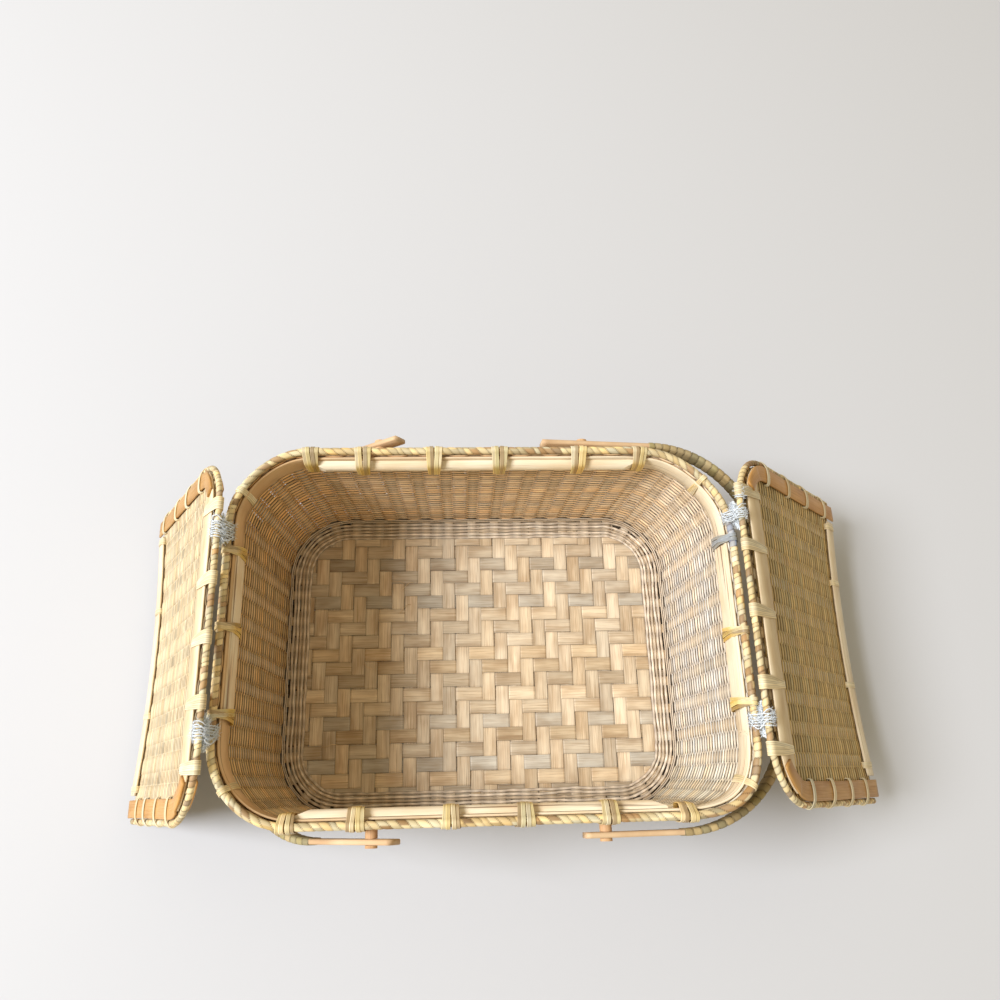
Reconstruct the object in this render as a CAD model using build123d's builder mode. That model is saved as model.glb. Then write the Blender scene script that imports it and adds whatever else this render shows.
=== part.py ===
from build123d import *
from math import cos, pi, radians, sin, sqrt
import os

# A rectangular bamboo basket with two end lids, each lid tied to an end of the rim with twine,
# and two swing handles. Millimetres. Z is up, X runs along the basket, and the origin is the
# centre of the underside. Both lids stand open and hang outside the ends.

# Basket body
FLOOR_THICKNESS = 4.0
WALL_TOP = 175.0
RIM_COIL_RADIUS = 3.0
RIM_COIL_HEIGHT = WALL_TOP + RIM_COIL_RADIUS
RIM_HALF_LENGTH = 200.0
RIM_HALF_WIDTH = 142.4
RIM_CORNER = 60.0
FOOT_INNER = (178.5, 135.0, 52.0)
KNEE_INNER = (181.2, 137.6, 55.0)
TOP_INNER = (196.5, 139.0, 56.5)
FOOT_OUTER = (181.0, 137.5, 55.0)
KNEE_OUTER = (185.2, 141.6, 59.0)
TOP_OUTER = (200.5, 143.0, 60.5)
KNEE_INNER_HEIGHT = 10.0
KNEE_OUTER_HEIGHT = 8.0
FLOOR_EDGE_ROWS = (169.5, 126.0, 44.0)
FLOOR_EDGE_HEIGHT = 1.8

# Rim bands, rails and end slats
BAND_THICKNESS = 2.0
INNER_BAND_FOOT = 155.0
OUTER_BAND_FOOT = 161.0
RAIL_START = -140.0
RAIL_END = 130.0
RAIL_FOOT = 157.0
RAIL_TOP = 171.0
RAIL_DEPTH = 6.0
RAIL_TAPER = 14.0
RAIL_END_DEPTH = 1.5
RAIL_END_BIND = 3.4
SLAT_THICKNESS = 2.5
SLAT_FOOT = 158.0
SLAT_TOP = 172.0
END_SLATS = {"end_slat_right": (1, -62.0, 61.0), "end_slat_left": (-1, -64.0, 59.0)}

# Cane lashings round the rim
LASHING_WIDTH = 6.5
LASHING_THICKNESS = 1.2
LASHING_GAP = 0.05
LASHING_STAND_OFF = 1.5
LASHING_CORNER = 3.7
LASHING_INNER_FOOT = INNER_BAND_FOOT - 1
LASHING_OUTER_FOOT = 166.0
FAR_LASHINGS = (-140.0, -97.0, -39.0, 14.0, 80.0, 131.0)
NEAR_LASHINGS = (-144.0, -95.0, -28.0, 25.0, 86.0, 143.0)
LEFT_LASHINGS = (61.0, 0.5, -64.0)
RIGHT_LASHINGS = (66.0, -9.1, -63.0)
CORNER_LASHINGS = ((1, 1, 40.6), (1, -1, 36.8), (-1, 1, 27.1), (-1, -1, 35.7))
CORNER_LASHING_GAP = 0.3

# Lids, in their own plane: s runs from the hinge line to the free edge, t along the hinge line
HINGE_X = 205.5
HINGE_Z = 189.0
LID_DROP = {"right": 46.0, "left": 60.0}
LID_LENGTH = 199.0
LID_COIL_HALF_WIDTH = 138.0
LID_COIL_RADIUS = 2.5
LID_CORNER = 50.0
PANEL_START = 8.5
PANEL_HALF_WIDTH = LID_COIL_HALF_WIDTH - LID_COIL_RADIUS
PANEL_HALF_THICKNESS = 2.0
PANEL_CORNER = 42.0
PANEL_FLAT_END = PANEL_START + PANEL_CORNER + 2.0
PANEL_CROWN = 5.0
LEAST_CROWN = 0.05
HINGE_BAND_START = 9.5
HINGE_BAND_END = 31.0
HINGE_BAND_THICKNESS = 1.5
SIDE_STRIP_WIDTH = 15.0
SIDE_STRIP_START = 44.0
SIDE_STRIP_END = 203.0
CROWN_HALF_WIDTH = PANEL_HALF_WIDTH - SIDE_STRIP_WIDTH
TRIM_THICKNESS = 2.0
EDGE_SLAT_WIDTH = 14.0
EDGE_SLAT_HALF_LENGTH = 117.0
EDGE_SLAT_INNER_GAP = 0.6
EDGE_SLAT_OUTER_GAP = 0.05
LID_TIE_THICKNESS = 1.0
LID_TIE_WIDTH = 5.0
LID_TIE_CORNER = 3.5
LID_TIE_FACE = PANEL_HALF_THICKNESS + TRIM_THICKNESS + LASHING_GAP
EDGE_TIE_GAP = 0.3
EDGE_TIE_REACH = 0.5
EDGE_TIE_CORNER = 0.8
TIE_BACK_LAP = 1.0
HINGE_LASHINGS = {"right": (103.0, 56.5, 4.3, -49.8, -98.0), "left": (-94.0, -35.5, 9.0, 56.0, 101.0)}
PLUS_SIDE_TIES = {"right": (52.0, 95.0, 135.0, 178.0), "left": (55.0, 95.0, 135.0, 165.0)}
MINUS_SIDE_TIES = {"right": (55.0, 95.0, 135.0, 172.0), "left": (52.0, 95.0, 135.0, 182.0)}
EDGE_TIES = {"right": (112.0, 57.0, -38.0, -108.0), "left": (-112.0, -45.0, 50.0, 112.0)}
TOGGLE_T = -6.0
TOGGLE_RADIUS = 2.2
TOGGLE_HEAD_RADIUS = 3.2
TOGGLE_REACH = 208.0

# Twine hinge ties: side, middle along the rim, turns, slack round the coils
TWINE_DIAMETER = 1.8
TWINE_PITCH = 2.4
TWINE_TAIL = 4.0
TIE_NOTCH_GAP = 0.9
TIE_NOTCH_REACH = 22.0
HINGE_TIES = {
    "hinge_tie_left_far": ("left", 74.0, 7, 0.3),
    "hinge_tie_left_near": ("left", -77.0, 5, 0.3),
    "hinge_tie_right_far": ("right", 84.0, 5, 0.9),
    "hinge_tie_right_near": ("right", -77.0, 5, 0.3),
}

# Swing handles, in their own plane: r runs from the pivot line to the bow
PIVOT_X = 85.0
PIVOT_Z = 161.0
HANDLE_DROP = {"right": 6.0, "left": 38.0}
BOW_REACH = 150.0
LEG_HALF_SPAN = 154.0
HANDLE_THICKNESS = 4.0
HANDLE_WIDTH = 13.0
BOW_CORNER = 90.0
LEG_TAILS = {"right": (35.0, 16.0), "left": (22.0, 22.0)}
WRAP_START = 58.0
WRAP_THICKNESS = 0.75
PEG_RADIUS = 2.5
PEG_RUNNING_GAP = 0.06
PEG_HEAD_RADIUS = 4.5
PEG_HEAD_THICKNESS = 2.0
PEG_INNER_END = 137.0
PEG_SIDE_GAP = 0.3
PEG_COLLAR_GAP = 0.1

SIDES = {"right": 1, "left": -1}
os.makedirs("parts", exist_ok=True)


def between(low, high, low_height, high_height, height):
    """A wall section at a height, on the straight line between two known sections."""
    share = (height - low_height) / (high_height - low_height)
    return tuple(a + (b - a) * share for a, b in zip(low, high))


def wall_inner(height):
    return between(KNEE_INNER, TOP_INNER, KNEE_INNER_HEIGHT, WALL_TOP, height)


def wall_outer(height):
    return between(KNEE_OUTER, TOP_OUTER, KNEE_OUTER_HEIGHT, WALL_TOP, height)


def grown(section, amount):
    return tuple(value + amount for value in section)


def rounded_section(height, section):
    """A rounded rectangle at a height, given as half length, half width and corner radius."""
    half_length, half_width, corner = section
    with BuildSketch(Plane.XY.offset(height)) as outline:
        RectangleRounded(2 * half_length, 2 * half_width, corner)
    return outline.sketch


def lid_plane(side):
    """The plane of an open lid: X from the hinge line to the free edge, Z out of its inner face."""
    sign = SIDES[side]
    drop = radians(LID_DROP[side])
    return Plane(
        origin=(sign * HINGE_X, 0, HINGE_Z),
        x_dir=(sign * cos(drop), 0, -sin(drop)),
        z_dir=(sign * sin(drop), 0, cos(drop)),
    )


def handle_plane(side):
    """The plane of a lowered handle: X from the pivot line to the bow."""
    sign = SIDES[side]
    drop = radians(HANDLE_DROP[side])
    return Plane(
        origin=(sign * PIVOT_X, 0, PIVOT_Z),
        x_dir=(sign * cos(drop), 0, -sin(drop)),
        z_dir=(sign * sin(drop), 0, cos(drop)),
    )


def section_plane(base, along, across, up):
    """A plane square to a lid: its X follows the lid's s axis, its Y the lid's height."""
    origin = base.from_local_coords(Vector(along, across, up))
    return Plane(origin=origin, x_dir=base.x_dir, z_dir=-base.y_dir)


def cross_plane(base, along, across, up):
    """A plane square to a lid and to s: its X follows the lid's t axis, its Y the lid's height."""
    origin = base.from_local_coords(Vector(along, across, up))
    return Plane(origin=origin, x_dir=base.y_dir, z_dir=base.x_dir)


def crown_at(across):
    """How far the free edge is crowned towards the lid's outer face, at a place along it."""
    return -PANEL_CROWN * max(0.0, 1 - (across / CROWN_HALF_WIDTH) ** 2)


# The floor, woven of flat bamboo strips, is one plate here
with BuildPart() as floor_weave:
    add(extrude(rounded_section(0, FOOT_INNER), amount=FLOOR_THICKNESS))
floor_weave.part.label = "floor_weave"
export_step(floor_weave.part, "parts/floor_weave.step")

# Weft rows lie over the floor strips just inside the walls
with BuildPart() as floor_edge_rows:
    with BuildSketch(Plane.XY.offset(FLOOR_THICKNESS)):
        RectangleRounded(2 * FOOT_INNER[0], 2 * FOOT_INNER[1], FOOT_INNER[2])
        RectangleRounded(
            2 * FLOOR_EDGE_ROWS[0], 2 * FLOOR_EDGE_ROWS[1], FLOOR_EDGE_ROWS[2], mode=Mode.SUBTRACT
        )
    extrude(amount=FLOOR_EDGE_HEIGHT)
floor_edge_rows.part.label = "floor_edge_rows"
export_step(floor_edge_rows.part, "parts/floor_edge_rows.step")


def tie_notches():
    """Where each twine tie passes under the rim coil, the top of the wall is parted."""
    deepest = RIM_COIL_RADIUS + TWINE_DIAMETER + TIE_NOTCH_GAP
    notch_height = 2 * (WALL_TOP - (RIM_COIL_HEIGHT - deepest))
    for side, middle, turns, slack in HINGE_TIES.values():
        length = (turns + 1) * TWINE_PITCH + 2 * TWINE_DIAMETER
        with Locations((SIDES[side] * RIM_HALF_LENGTH, middle, WALL_TOP)):
            Box(TIE_NOTCH_REACH, length, notch_height, mode=Mode.SUBTRACT)


def peg_holes():
    """Holes for the four handle pegs, square to the long walls."""
    for sign in SIDES.values():
        with Locations(Location((sign * PIVOT_X, 0, PIVOT_Z), (90, 0, 0))):
            Cylinder(PEG_RADIUS, 4 * RIM_HALF_WIDTH, mode=Mode.SUBTRACT)


# The woven wall flares from a rounded foot to the rim
with BuildPart() as wall_weave:
    for height, section in (
        (0, FOOT_OUTER),
        (KNEE_OUTER_HEIGHT, KNEE_OUTER),
        (WALL_TOP, TOP_OUTER),
    ):
        add(rounded_section(height, section))
    loft(ruled=True)
    for height, section in (
        (0, FOOT_INNER),
        (FLOOR_THICKNESS, FOOT_INNER),
        (KNEE_INNER_HEIGHT, KNEE_INNER),
        (WALL_TOP, TOP_INNER),
    ):
        add(rounded_section(height, section))
    loft(ruled=True, mode=Mode.SUBTRACT)
    tie_notches()
    peg_holes()
wall_weave.part.label = "wall_weave"
export_step(wall_weave.part, "parts/wall_weave.step")

# Flat bands of split bamboo clamp the top of the wall from inside and outside
with BuildPart() as rim_inner_band:
    for height in (INNER_BAND_FOOT, WALL_TOP):
        add(rounded_section(height, wall_inner(height)))
    loft(ruled=True)
    for height in (INNER_BAND_FOOT, WALL_TOP):
        add(rounded_section(height, grown(wall_inner(height), -BAND_THICKNESS)))
    loft(ruled=True, mode=Mode.SUBTRACT)
    tie_notches()
    peg_holes()
rim_inner_band.part.label = "rim_inner_band"
export_step(rim_inner_band.part, "parts/rim_inner_band.step")

with BuildPart() as rim_outer_band:
    for height in (OUTER_BAND_FOOT, WALL_TOP):
        add(rounded_section(height, grown(wall_outer(height), BAND_THICKNESS)))
    loft(ruled=True)
    for height in (OUTER_BAND_FOOT, WALL_TOP):
        add(rounded_section(height, wall_outer(height)))
    loft(ruled=True, mode=Mode.SUBTRACT)
    tie_notches()
    peg_holes()
rim_outer_band.part.label = "rim_outer_band"
export_step(rim_outer_band.part, "parts/rim_outer_band.step")

# A cane-wrapped coil runs round the top of the wall
with BuildPart() as rim_coil:
    with BuildLine(Plane.XY.offset(RIM_COIL_HEIGHT)) as coil_path:
        FilletPolyline(
            (RIM_HALF_LENGTH, RIM_HALF_WIDTH),
            (-RIM_HALF_LENGTH, RIM_HALF_WIDTH),
            (-RIM_HALF_LENGTH, -RIM_HALF_WIDTH),
            (RIM_HALF_LENGTH, -RIM_HALF_WIDTH),
            radius=RIM_CORNER,
            close=True,
        )
    coil_route = coil_path.wires()[0]
    with BuildSketch(Plane(origin=coil_route @ 0, z_dir=coil_route % 0)):
        Circle(RIM_COIL_RADIUS)
    sweep(path=coil_route)
rim_coil.part.label = "rim_coil"
export_step(rim_coil.part, "parts/rim_coil.step")

# Half-round rails stiffen the long sides inside the rim, with pared ends
for name, sign in (("rail_far", 1), ("rail_near", -1)):
    back = wall_inner(RAIL_FOOT)[1] - BAND_THICKNESS
    with BuildPart() as rail:
        with BuildSketch(Plane(origin=(RAIL_START, 0, 0), x_dir=(0, sign, 0), z_dir=(sign, 0, 0))):
            with BuildLine():
                Line((back, RAIL_FOOT), (back, RAIL_TOP))
                ThreePointArc(
                    (back, RAIL_TOP),
                    (back - RAIL_DEPTH, (RAIL_FOOT + RAIL_TOP) / 2),
                    (back, RAIL_FOOT),
                )
            make_face()
        extrude(amount=sign * (RAIL_END - RAIL_START))
        with BuildSketch(Plane.XY.offset(RAIL_FOOT - 1)):
            with BuildLine():
                Polyline(
                    (RAIL_START, sign * (back + 1)),
                    (RAIL_START, sign * (back - RAIL_END_DEPTH)),
                    (RAIL_START + RAIL_TAPER, sign * (back - RAIL_DEPTH - 1)),
                    (RAIL_END - RAIL_TAPER, sign * (back - RAIL_DEPTH - 1)),
                    (RAIL_END, sign * (back - RAIL_END_DEPTH)),
                    (RAIL_END, sign * (back + 1)),
                    close=True,
                )
            make_face()
        extrude(amount=RAIL_TOP - RAIL_FOOT + 2, mode=Mode.INTERSECT)
    rail.part.label = name
    export_step(rail.part, f"parts/{name}.step")

# A thin split slat lies flat against the band inside each end
for name, (sign, low_end, high_end) in END_SLATS.items():
    foot_x = wall_inner(SLAT_FOOT)[0] - BAND_THICKNESS
    top_x = wall_inner(SLAT_TOP)[0] - BAND_THICKNESS
    with BuildPart() as slat:
        with BuildSketch(Plane(origin=(0, high_end, 0), x_dir=(1, 0, 0), z_dir=(0, -1, 0))):
            with BuildLine():
                Polyline(
                    (sign * foot_x, SLAT_FOOT),
                    (sign * top_x, SLAT_TOP),
                    (sign * (top_x - SLAT_THICKNESS), SLAT_TOP),
                    (sign * (foot_x - SLAT_THICKNESS), SLAT_FOOT),
                    close=True,
                )
            make_face()
        extrude(amount=high_end - low_end)
    slat.part.label = name
    export_step(slat.part, f"parts/{name}.step")


def rim_strap(inner_leg, inner_foot, outer_leg, plane):
    """A cane strap over the rim, drawn outward from the basket's middle and up, one lashing wide."""
    top = RIM_COIL_HEIGHT + RIM_COIL_RADIUS + LASHING_GAP
    with BuildSketch(plane) as strap:
        with BuildLine():
            FilletPolyline(
                (inner_leg - LASHING_THICKNESS, inner_foot),
                (inner_leg - LASHING_THICKNESS, top + LASHING_THICKNESS),
                (outer_leg + LASHING_THICKNESS, top + LASHING_THICKNESS),
                (outer_leg + LASHING_THICKNESS, LASHING_OUTER_FOOT),
                radius=LASHING_CORNER,
            )
            Line((outer_leg + LASHING_THICKNESS, LASHING_OUTER_FOOT), (outer_leg, LASHING_OUTER_FOOT))
            FilletPolyline(
                (outer_leg, LASHING_OUTER_FOOT),
                (outer_leg, top),
                (inner_leg, top),
                (inner_leg, inner_foot),
                radius=LASHING_CORNER - LASHING_THICKNESS,
            )
            Line((inner_leg, inner_foot), (inner_leg - LASHING_THICKNESS, inner_foot))
        make_face()
    return extrude(strap.sketch, amount=LASHING_WIDTH / 2, both=True)


# Cane lashings bind coil, bands, rails and slats together
for name, sign, places in (
    ("lashings_far", 1, FAR_LASHINGS),
    ("lashings_near", -1, NEAR_LASHINGS),
):
    inner_leg = wall_inner(RAIL_FOOT)[1] - BAND_THICKNESS - RAIL_DEPTH - LASHING_GAP
    end_leg = wall_inner(INNER_BAND_FOOT)[1] - BAND_THICKNESS - RAIL_END_BIND
    outer_leg = wall_outer(WALL_TOP)[1] + BAND_THICKNESS + LASHING_STAND_OFF
    with BuildPart() as lashings:
        for place in places:
            end_bind = place > RAIL_END or place < RAIL_START + RAIL_TAPER
            leg = end_leg if end_bind else inner_leg
            add(rim_strap(
                leg, LASHING_INNER_FOOT, outer_leg,
                Plane(origin=(place, 0, 0), x_dir=(0, sign, 0), z_dir=(sign, 0, 0)),
            ))
    lashings.part.label = name
    export_step(lashings.part, f"parts/{name}.step")

for name, sign, places in (
    ("lashings_left", -1, LEFT_LASHINGS),
    ("lashings_right", 1, RIGHT_LASHINGS),
):
    inner_leg = wall_inner(SLAT_FOOT)[0] - BAND_THICKNESS - SLAT_THICKNESS - LASHING_GAP
    outer_leg = wall_outer(WALL_TOP)[0] + BAND_THICKNESS + LASHING_STAND_OFF
    with BuildPart() as lashings:
        for place in places:
            add(rim_strap(
                inner_leg, LASHING_INNER_FOOT, outer_leg,
                Plane(origin=(0, place, 0), x_dir=(sign, 0, 0), z_dir=(0, -sign, 0)),
            ))
    lashings.part.label = name
    export_step(lashings.part, f"parts/{name}.step")


def corner_reach(section, direction):
    """How far a rounded corner lies from the middle of the rim coil's corner, along a direction."""
    half_length, half_width, corner = section
    offset = Vector(
        RIM_HALF_LENGTH - RIM_CORNER - half_length + corner,
        RIM_HALF_WIDTH - RIM_CORNER - half_width + corner,
    )
    lean = offset.dot(direction)
    return sqrt(lean ** 2 - offset.dot(offset) + corner ** 2) - lean


# One flat strap crosses the bands at each rounded corner
with BuildPart() as corner_lashings:
    for x_sign, y_sign, angle in CORNER_LASHINGS:
        direction = Vector(cos(radians(angle)), sin(radians(angle)))
        band_face = corner_reach(grown(wall_inner(INNER_BAND_FOOT), -BAND_THICKNESS), direction)
        band_back = corner_reach(grown(wall_outer(WALL_TOP), BAND_THICKNESS), direction)
        outward = Vector(x_sign * direction.X, y_sign * direction.Y)
        corner_middle = (x_sign * (RIM_HALF_LENGTH - RIM_CORNER), y_sign * (RIM_HALF_WIDTH - RIM_CORNER), 0)
        add(rim_strap(
            band_face - CORNER_LASHING_GAP, LASHING_INNER_FOOT, band_back + LASHING_STAND_OFF,
            Plane(origin=corner_middle, x_dir=outward, z_dir=outward.cross(Vector(0, 0, 1))),
        ))
corner_lashings.part.label = "lashings_corners"
export_step(corner_lashings.part, "parts/lashings_corners.step")


def arc_from(start, start_tangent, end, end_tangent):
    """The middle point of two tangent arcs that join two points with given directions."""
    chord = end - start
    total = start_tangent + end_tangent
    spread = 2 * (1 - start_tangent.dot(end_tangent))
    reach = (-chord.dot(total) + sqrt(chord.dot(total) ** 2 + spread * chord.dot(chord))) / spread
    return (start + start_tangent * reach + end - end_tangent * reach) * 0.5


def rim_coil_x(along):
    """Half length of the rim coil's centre line at a place along an end."""
    past = max(0.0, abs(along) - (RIM_HALF_WIDTH - RIM_CORNER))
    return RIM_HALF_LENGTH - RIM_CORNER + sqrt(RIM_CORNER ** 2 - past ** 2)


def tie_stations(side, middle, turns, slack):
    """Quarter points and directions of twine wound steadily round the rim coil and the lid coil."""
    sign = SIDES[side]
    rim = Vector(sign * rim_coil_x(middle), 0, RIM_COIL_HEIGHT)
    lid = Vector(sign * HINGE_X, 0, HINGE_Z)
    outward = (lid - rim).normalized()
    rim = rim + outward * slack
    across = Vector(outward.Z, 0, -outward.X)
    radius = RIM_COIL_RADIUS + slack + TWINE_DIAMETER / 2
    straight = (lid - rim).length
    loop_length = 2 * pi * radius + 2 * straight
    climb = TWINE_PITCH / loop_length
    flat = 1 / sqrt(1 + climb ** 2)
    places = []
    for quarter in range(3):
        turn = quarter * pi / 2
        places.append((lid, turn, quarter * radius * pi / 2))
    for quarter in range(3):
        turn = pi + quarter * pi / 2
        places.append((rim, turn, pi * radius + straight + quarter * radius * pi / 2))
    start = middle - turns * TWINE_PITCH / 2
    stations = []
    for loop in range(turns):
        for centre, turn, travel in places:
            radial = across * cos(turn) + outward * sin(turn)
            forward = outward * cos(turn) - across * sin(turn)
            rise = start + (loop + travel / loop_length) * TWINE_PITCH
            point = centre + radial * radius + Vector(0, rise, 0)
            tangent = (forward + Vector(0, climb, 0)) * flat
            stations.append((point, tangent))
    return stations


def wound_tie(name, side, middle, turns, slack):
    """One unbroken length of twine, wound on pairs of tangent arcs and straight runs."""
    stations = tie_stations(side, middle, turns, slack)
    first_point, first_tangent = stations[0]
    last_point, last_tangent = stations[-1]
    with BuildPart() as tie:
        with BuildLine() as route:
            Line(first_point - first_tangent * TWINE_TAIL, first_point)
            for (point, tangent), (next_point, next_tangent) in zip(stations, stations[1:]):
                if tangent.dot(next_tangent) > 0.999:
                    Line(point, next_point)
                else:
                    joint = arc_from(point, tangent, next_point, next_tangent)
                    first_arc = TangentArc(point, joint, tangent=tangent)
                    TangentArc(joint, next_point, tangent=first_arc % 1)
            Line(last_point, last_point + last_tangent * TWINE_TAIL)
        path = route.wires()[0]
        with BuildSketch(Plane(origin=path @ 0, z_dir=path % 0)):
            Circle(TWINE_DIAMETER / 2)
        sweep(path=path)
    samples = 90 * turns
    points = [path @ (step / samples) for step in range(samples + 1)]
    near = int(samples / turns / 2)
    least = min(
        (points[i] - points[j]).length
        for i in range(samples)
        for j in range(i + near, samples + 1)
    )
    print(f"{name}: length {path.length:.1f}, least gap to itself {least - TWINE_DIAMETER:.2f} mm")
    tie.part.label = name
    export_step(tie.part, f"parts/{name}.step")


for tie_name, (tie_side, tie_middle, tie_turns, tie_slack) in HINGE_TIES.items():
    wound_tie(tie_name, tie_side, tie_middle, tie_turns, tie_slack)


# A bamboo peg through each long wall carries a handle leg between a collar and a head
leg_inner = LEG_HALF_SPAN - HANDLE_THICKNESS / 2
leg_outer = LEG_HALF_SPAN + HANDLE_THICKNESS / 2
collar_start = wall_outer(PIVOT_Z + PEG_HEAD_RADIUS)[1] + BAND_THICKNESS + PEG_COLLAR_GAP
for side, sign in SIDES.items():
    with BuildPart() as pegs:
        for across in (1, -1):
            spans = (
                (PEG_RADIUS, PEG_INNER_END, leg_outer + PEG_SIDE_GAP),
                (PEG_HEAD_RADIUS, collar_start, leg_inner - PEG_SIDE_GAP),
                (PEG_HEAD_RADIUS, leg_outer + PEG_SIDE_GAP, leg_outer + PEG_SIDE_GAP + PEG_HEAD_THICKNESS),
            )
            for radius, low, high in spans:
                plane = Plane(
                    origin=(sign * PIVOT_X, across * low, PIVOT_Z), x_dir=(1, 0, 0), z_dir=(0, across, 0)
                )
                with BuildSketch(plane):
                    Circle(radius)
                extrude(amount=high - low)
    pegs.part.label = f"handle_pegs_{side}"
    export_step(pegs.part, f"parts/handle_pegs_{side}.step")


def bow_outline(plane, offset, start_far, start_near):
    """The U of a handle seen square on, with both faces moved out by an offset."""
    outer = HANDLE_THICKNESS / 2 + offset
    far = -start_far
    near = -start_near
    with BuildSketch(plane) as outline:
        with BuildLine():
            FilletPolyline(
                (far, LEG_HALF_SPAN + outer),
                (BOW_REACH + outer, LEG_HALF_SPAN + outer),
                (BOW_REACH + outer, -LEG_HALF_SPAN - outer),
                (near, -LEG_HALF_SPAN - outer),
                radius=BOW_CORNER + outer,
            )
            Line((near, -LEG_HALF_SPAN - outer), (near, -LEG_HALF_SPAN + outer))
            FilletPolyline(
                (near, -LEG_HALF_SPAN + outer),
                (BOW_REACH - outer, -LEG_HALF_SPAN + outer),
                (BOW_REACH - outer, LEG_HALF_SPAN - outer),
                (far, LEG_HALF_SPAN - outer),
                radius=BOW_CORNER - outer,
            )
            Line((far, LEG_HALF_SPAN - outer), (far, LEG_HALF_SPAN + outer))
        make_face()
    return outline.sketch


# Each handle is a bent flat strip, wound with cane round the bow
for side, sign in SIDES.items():
    plane = handle_plane(side)
    far_tail, near_tail = LEG_TAILS[side]
    strip_solid = extrude(bow_outline(plane, 0, far_tail, near_tail), amount=HANDLE_WIDTH / 2, both=True)
    with BuildPart() as strip:
        add(strip_solid)
        with Locations(Location((sign * PIVOT_X, 0, PIVOT_Z), (90, 0, 0))):
            Cylinder(PEG_RADIUS + PEG_RUNNING_GAP, 4 * LEG_HALF_SPAN, mode=Mode.SUBTRACT)
    strip.part.label = f"handle_{side}_strip"
    export_step(strip.part, f"parts/handle_{side}_strip.step")

    wrap_outline = bow_outline(plane, WRAP_THICKNESS, -WRAP_START, -WRAP_START)
    with BuildPart() as wrap:
        add(extrude(wrap_outline, amount=HANDLE_WIDTH / 2 + WRAP_THICKNESS, both=True))
        add(strip_solid, mode=Mode.SUBTRACT)
    wrap.part.label = f"handle_{side}_wrap"
    export_step(wrap.part, f"parts/handle_{side}_wrap.step")


def panel_outline(plane, start, end):
    """The lid panel's outline near the hinge between two distances s, with rounded corners."""
    with BuildSketch(plane) as outline:
        with BuildLine():
            FilletPolyline(
                (PANEL_FLAT_END, PANEL_HALF_WIDTH),
                (PANEL_START, PANEL_HALF_WIDTH),
                (PANEL_START, -PANEL_HALF_WIDTH),
                (PANEL_FLAT_END, -PANEL_HALF_WIDTH),
                radius=PANEL_CORNER,
            )
            Line((PANEL_FLAT_END, -PANEL_HALF_WIDTH), (PANEL_FLAT_END, PANEL_HALF_WIDTH))
        make_face()
        with Locations(((start + end) / 2, 0)):
            Rectangle(end - start, 2 * PANEL_HALF_WIDTH, mode=Mode.INTERSECT)
    return outline.sketch


def panel_section(plane, along, crown):
    """A section of the lid panel across s: flat under the side strips and crowned between them."""
    edge = PANEL_HALF_WIDTH
    shoulder = CROWN_HALF_WIDTH
    half = PANEL_HALF_THICKNESS
    with BuildSketch(cross_plane(plane, along, 0, 0)) as section:
        with BuildLine():
            Line((-edge, half), (-shoulder, half))
            ThreePointArc((-shoulder, half), (0, half - crown), (shoulder, half))
            Line((shoulder, half), (edge, half))
            Line((edge, half), (edge, -half))
            Line((edge, -half), (shoulder, -half))
            ThreePointArc((shoulder, -half), (0, -half - crown), (-shoulder, -half))
            Line((-shoulder, -half), (-edge, -half))
            Line((-edge, -half), (-edge, half))
        make_face()
    return section.sketch


def edge_tie(plane, reach, back, face, corner, thickness, width):
    """A C-shaped cane tie round an edge: from the back of the trim, round the edge and back."""
    with BuildSketch(plane) as tie:
        with BuildLine():
            FilletPolyline(
                (back, face + thickness),
                (reach + thickness, face + thickness),
                (reach + thickness, -face - thickness),
                (back, -face - thickness),
                radius=corner + thickness,
            )
            Line((back, -face - thickness), (back, -face))
            FilletPolyline((back, -face), (reach, -face), (reach, face), (back, face), radius=corner)
            Line((back, face), (back, face + thickness))
        make_face()
    return extrude(tie.sketch, amount=width / 2, both=True)


def crowned_slat(plane, low, high):
    """A thin slat along the crowned free edge, between two heights measured at its ends."""
    ends = EDGE_SLAT_HALF_LENGTH
    drop = crown_at(0) - crown_at(ends)
    with BuildSketch(plane) as slat:
        with BuildLine():
            ThreePointArc((-ends, high), (0, high + drop), (ends, high))
            Line((ends, high), (ends, low))
            ThreePointArc((ends, low), (0, low + drop), (-ends, low))
            Line((-ends, low), (-ends, high))
        make_face()
    return extrude(slat.sketch, amount=-EDGE_SLAT_WIDTH)


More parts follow.
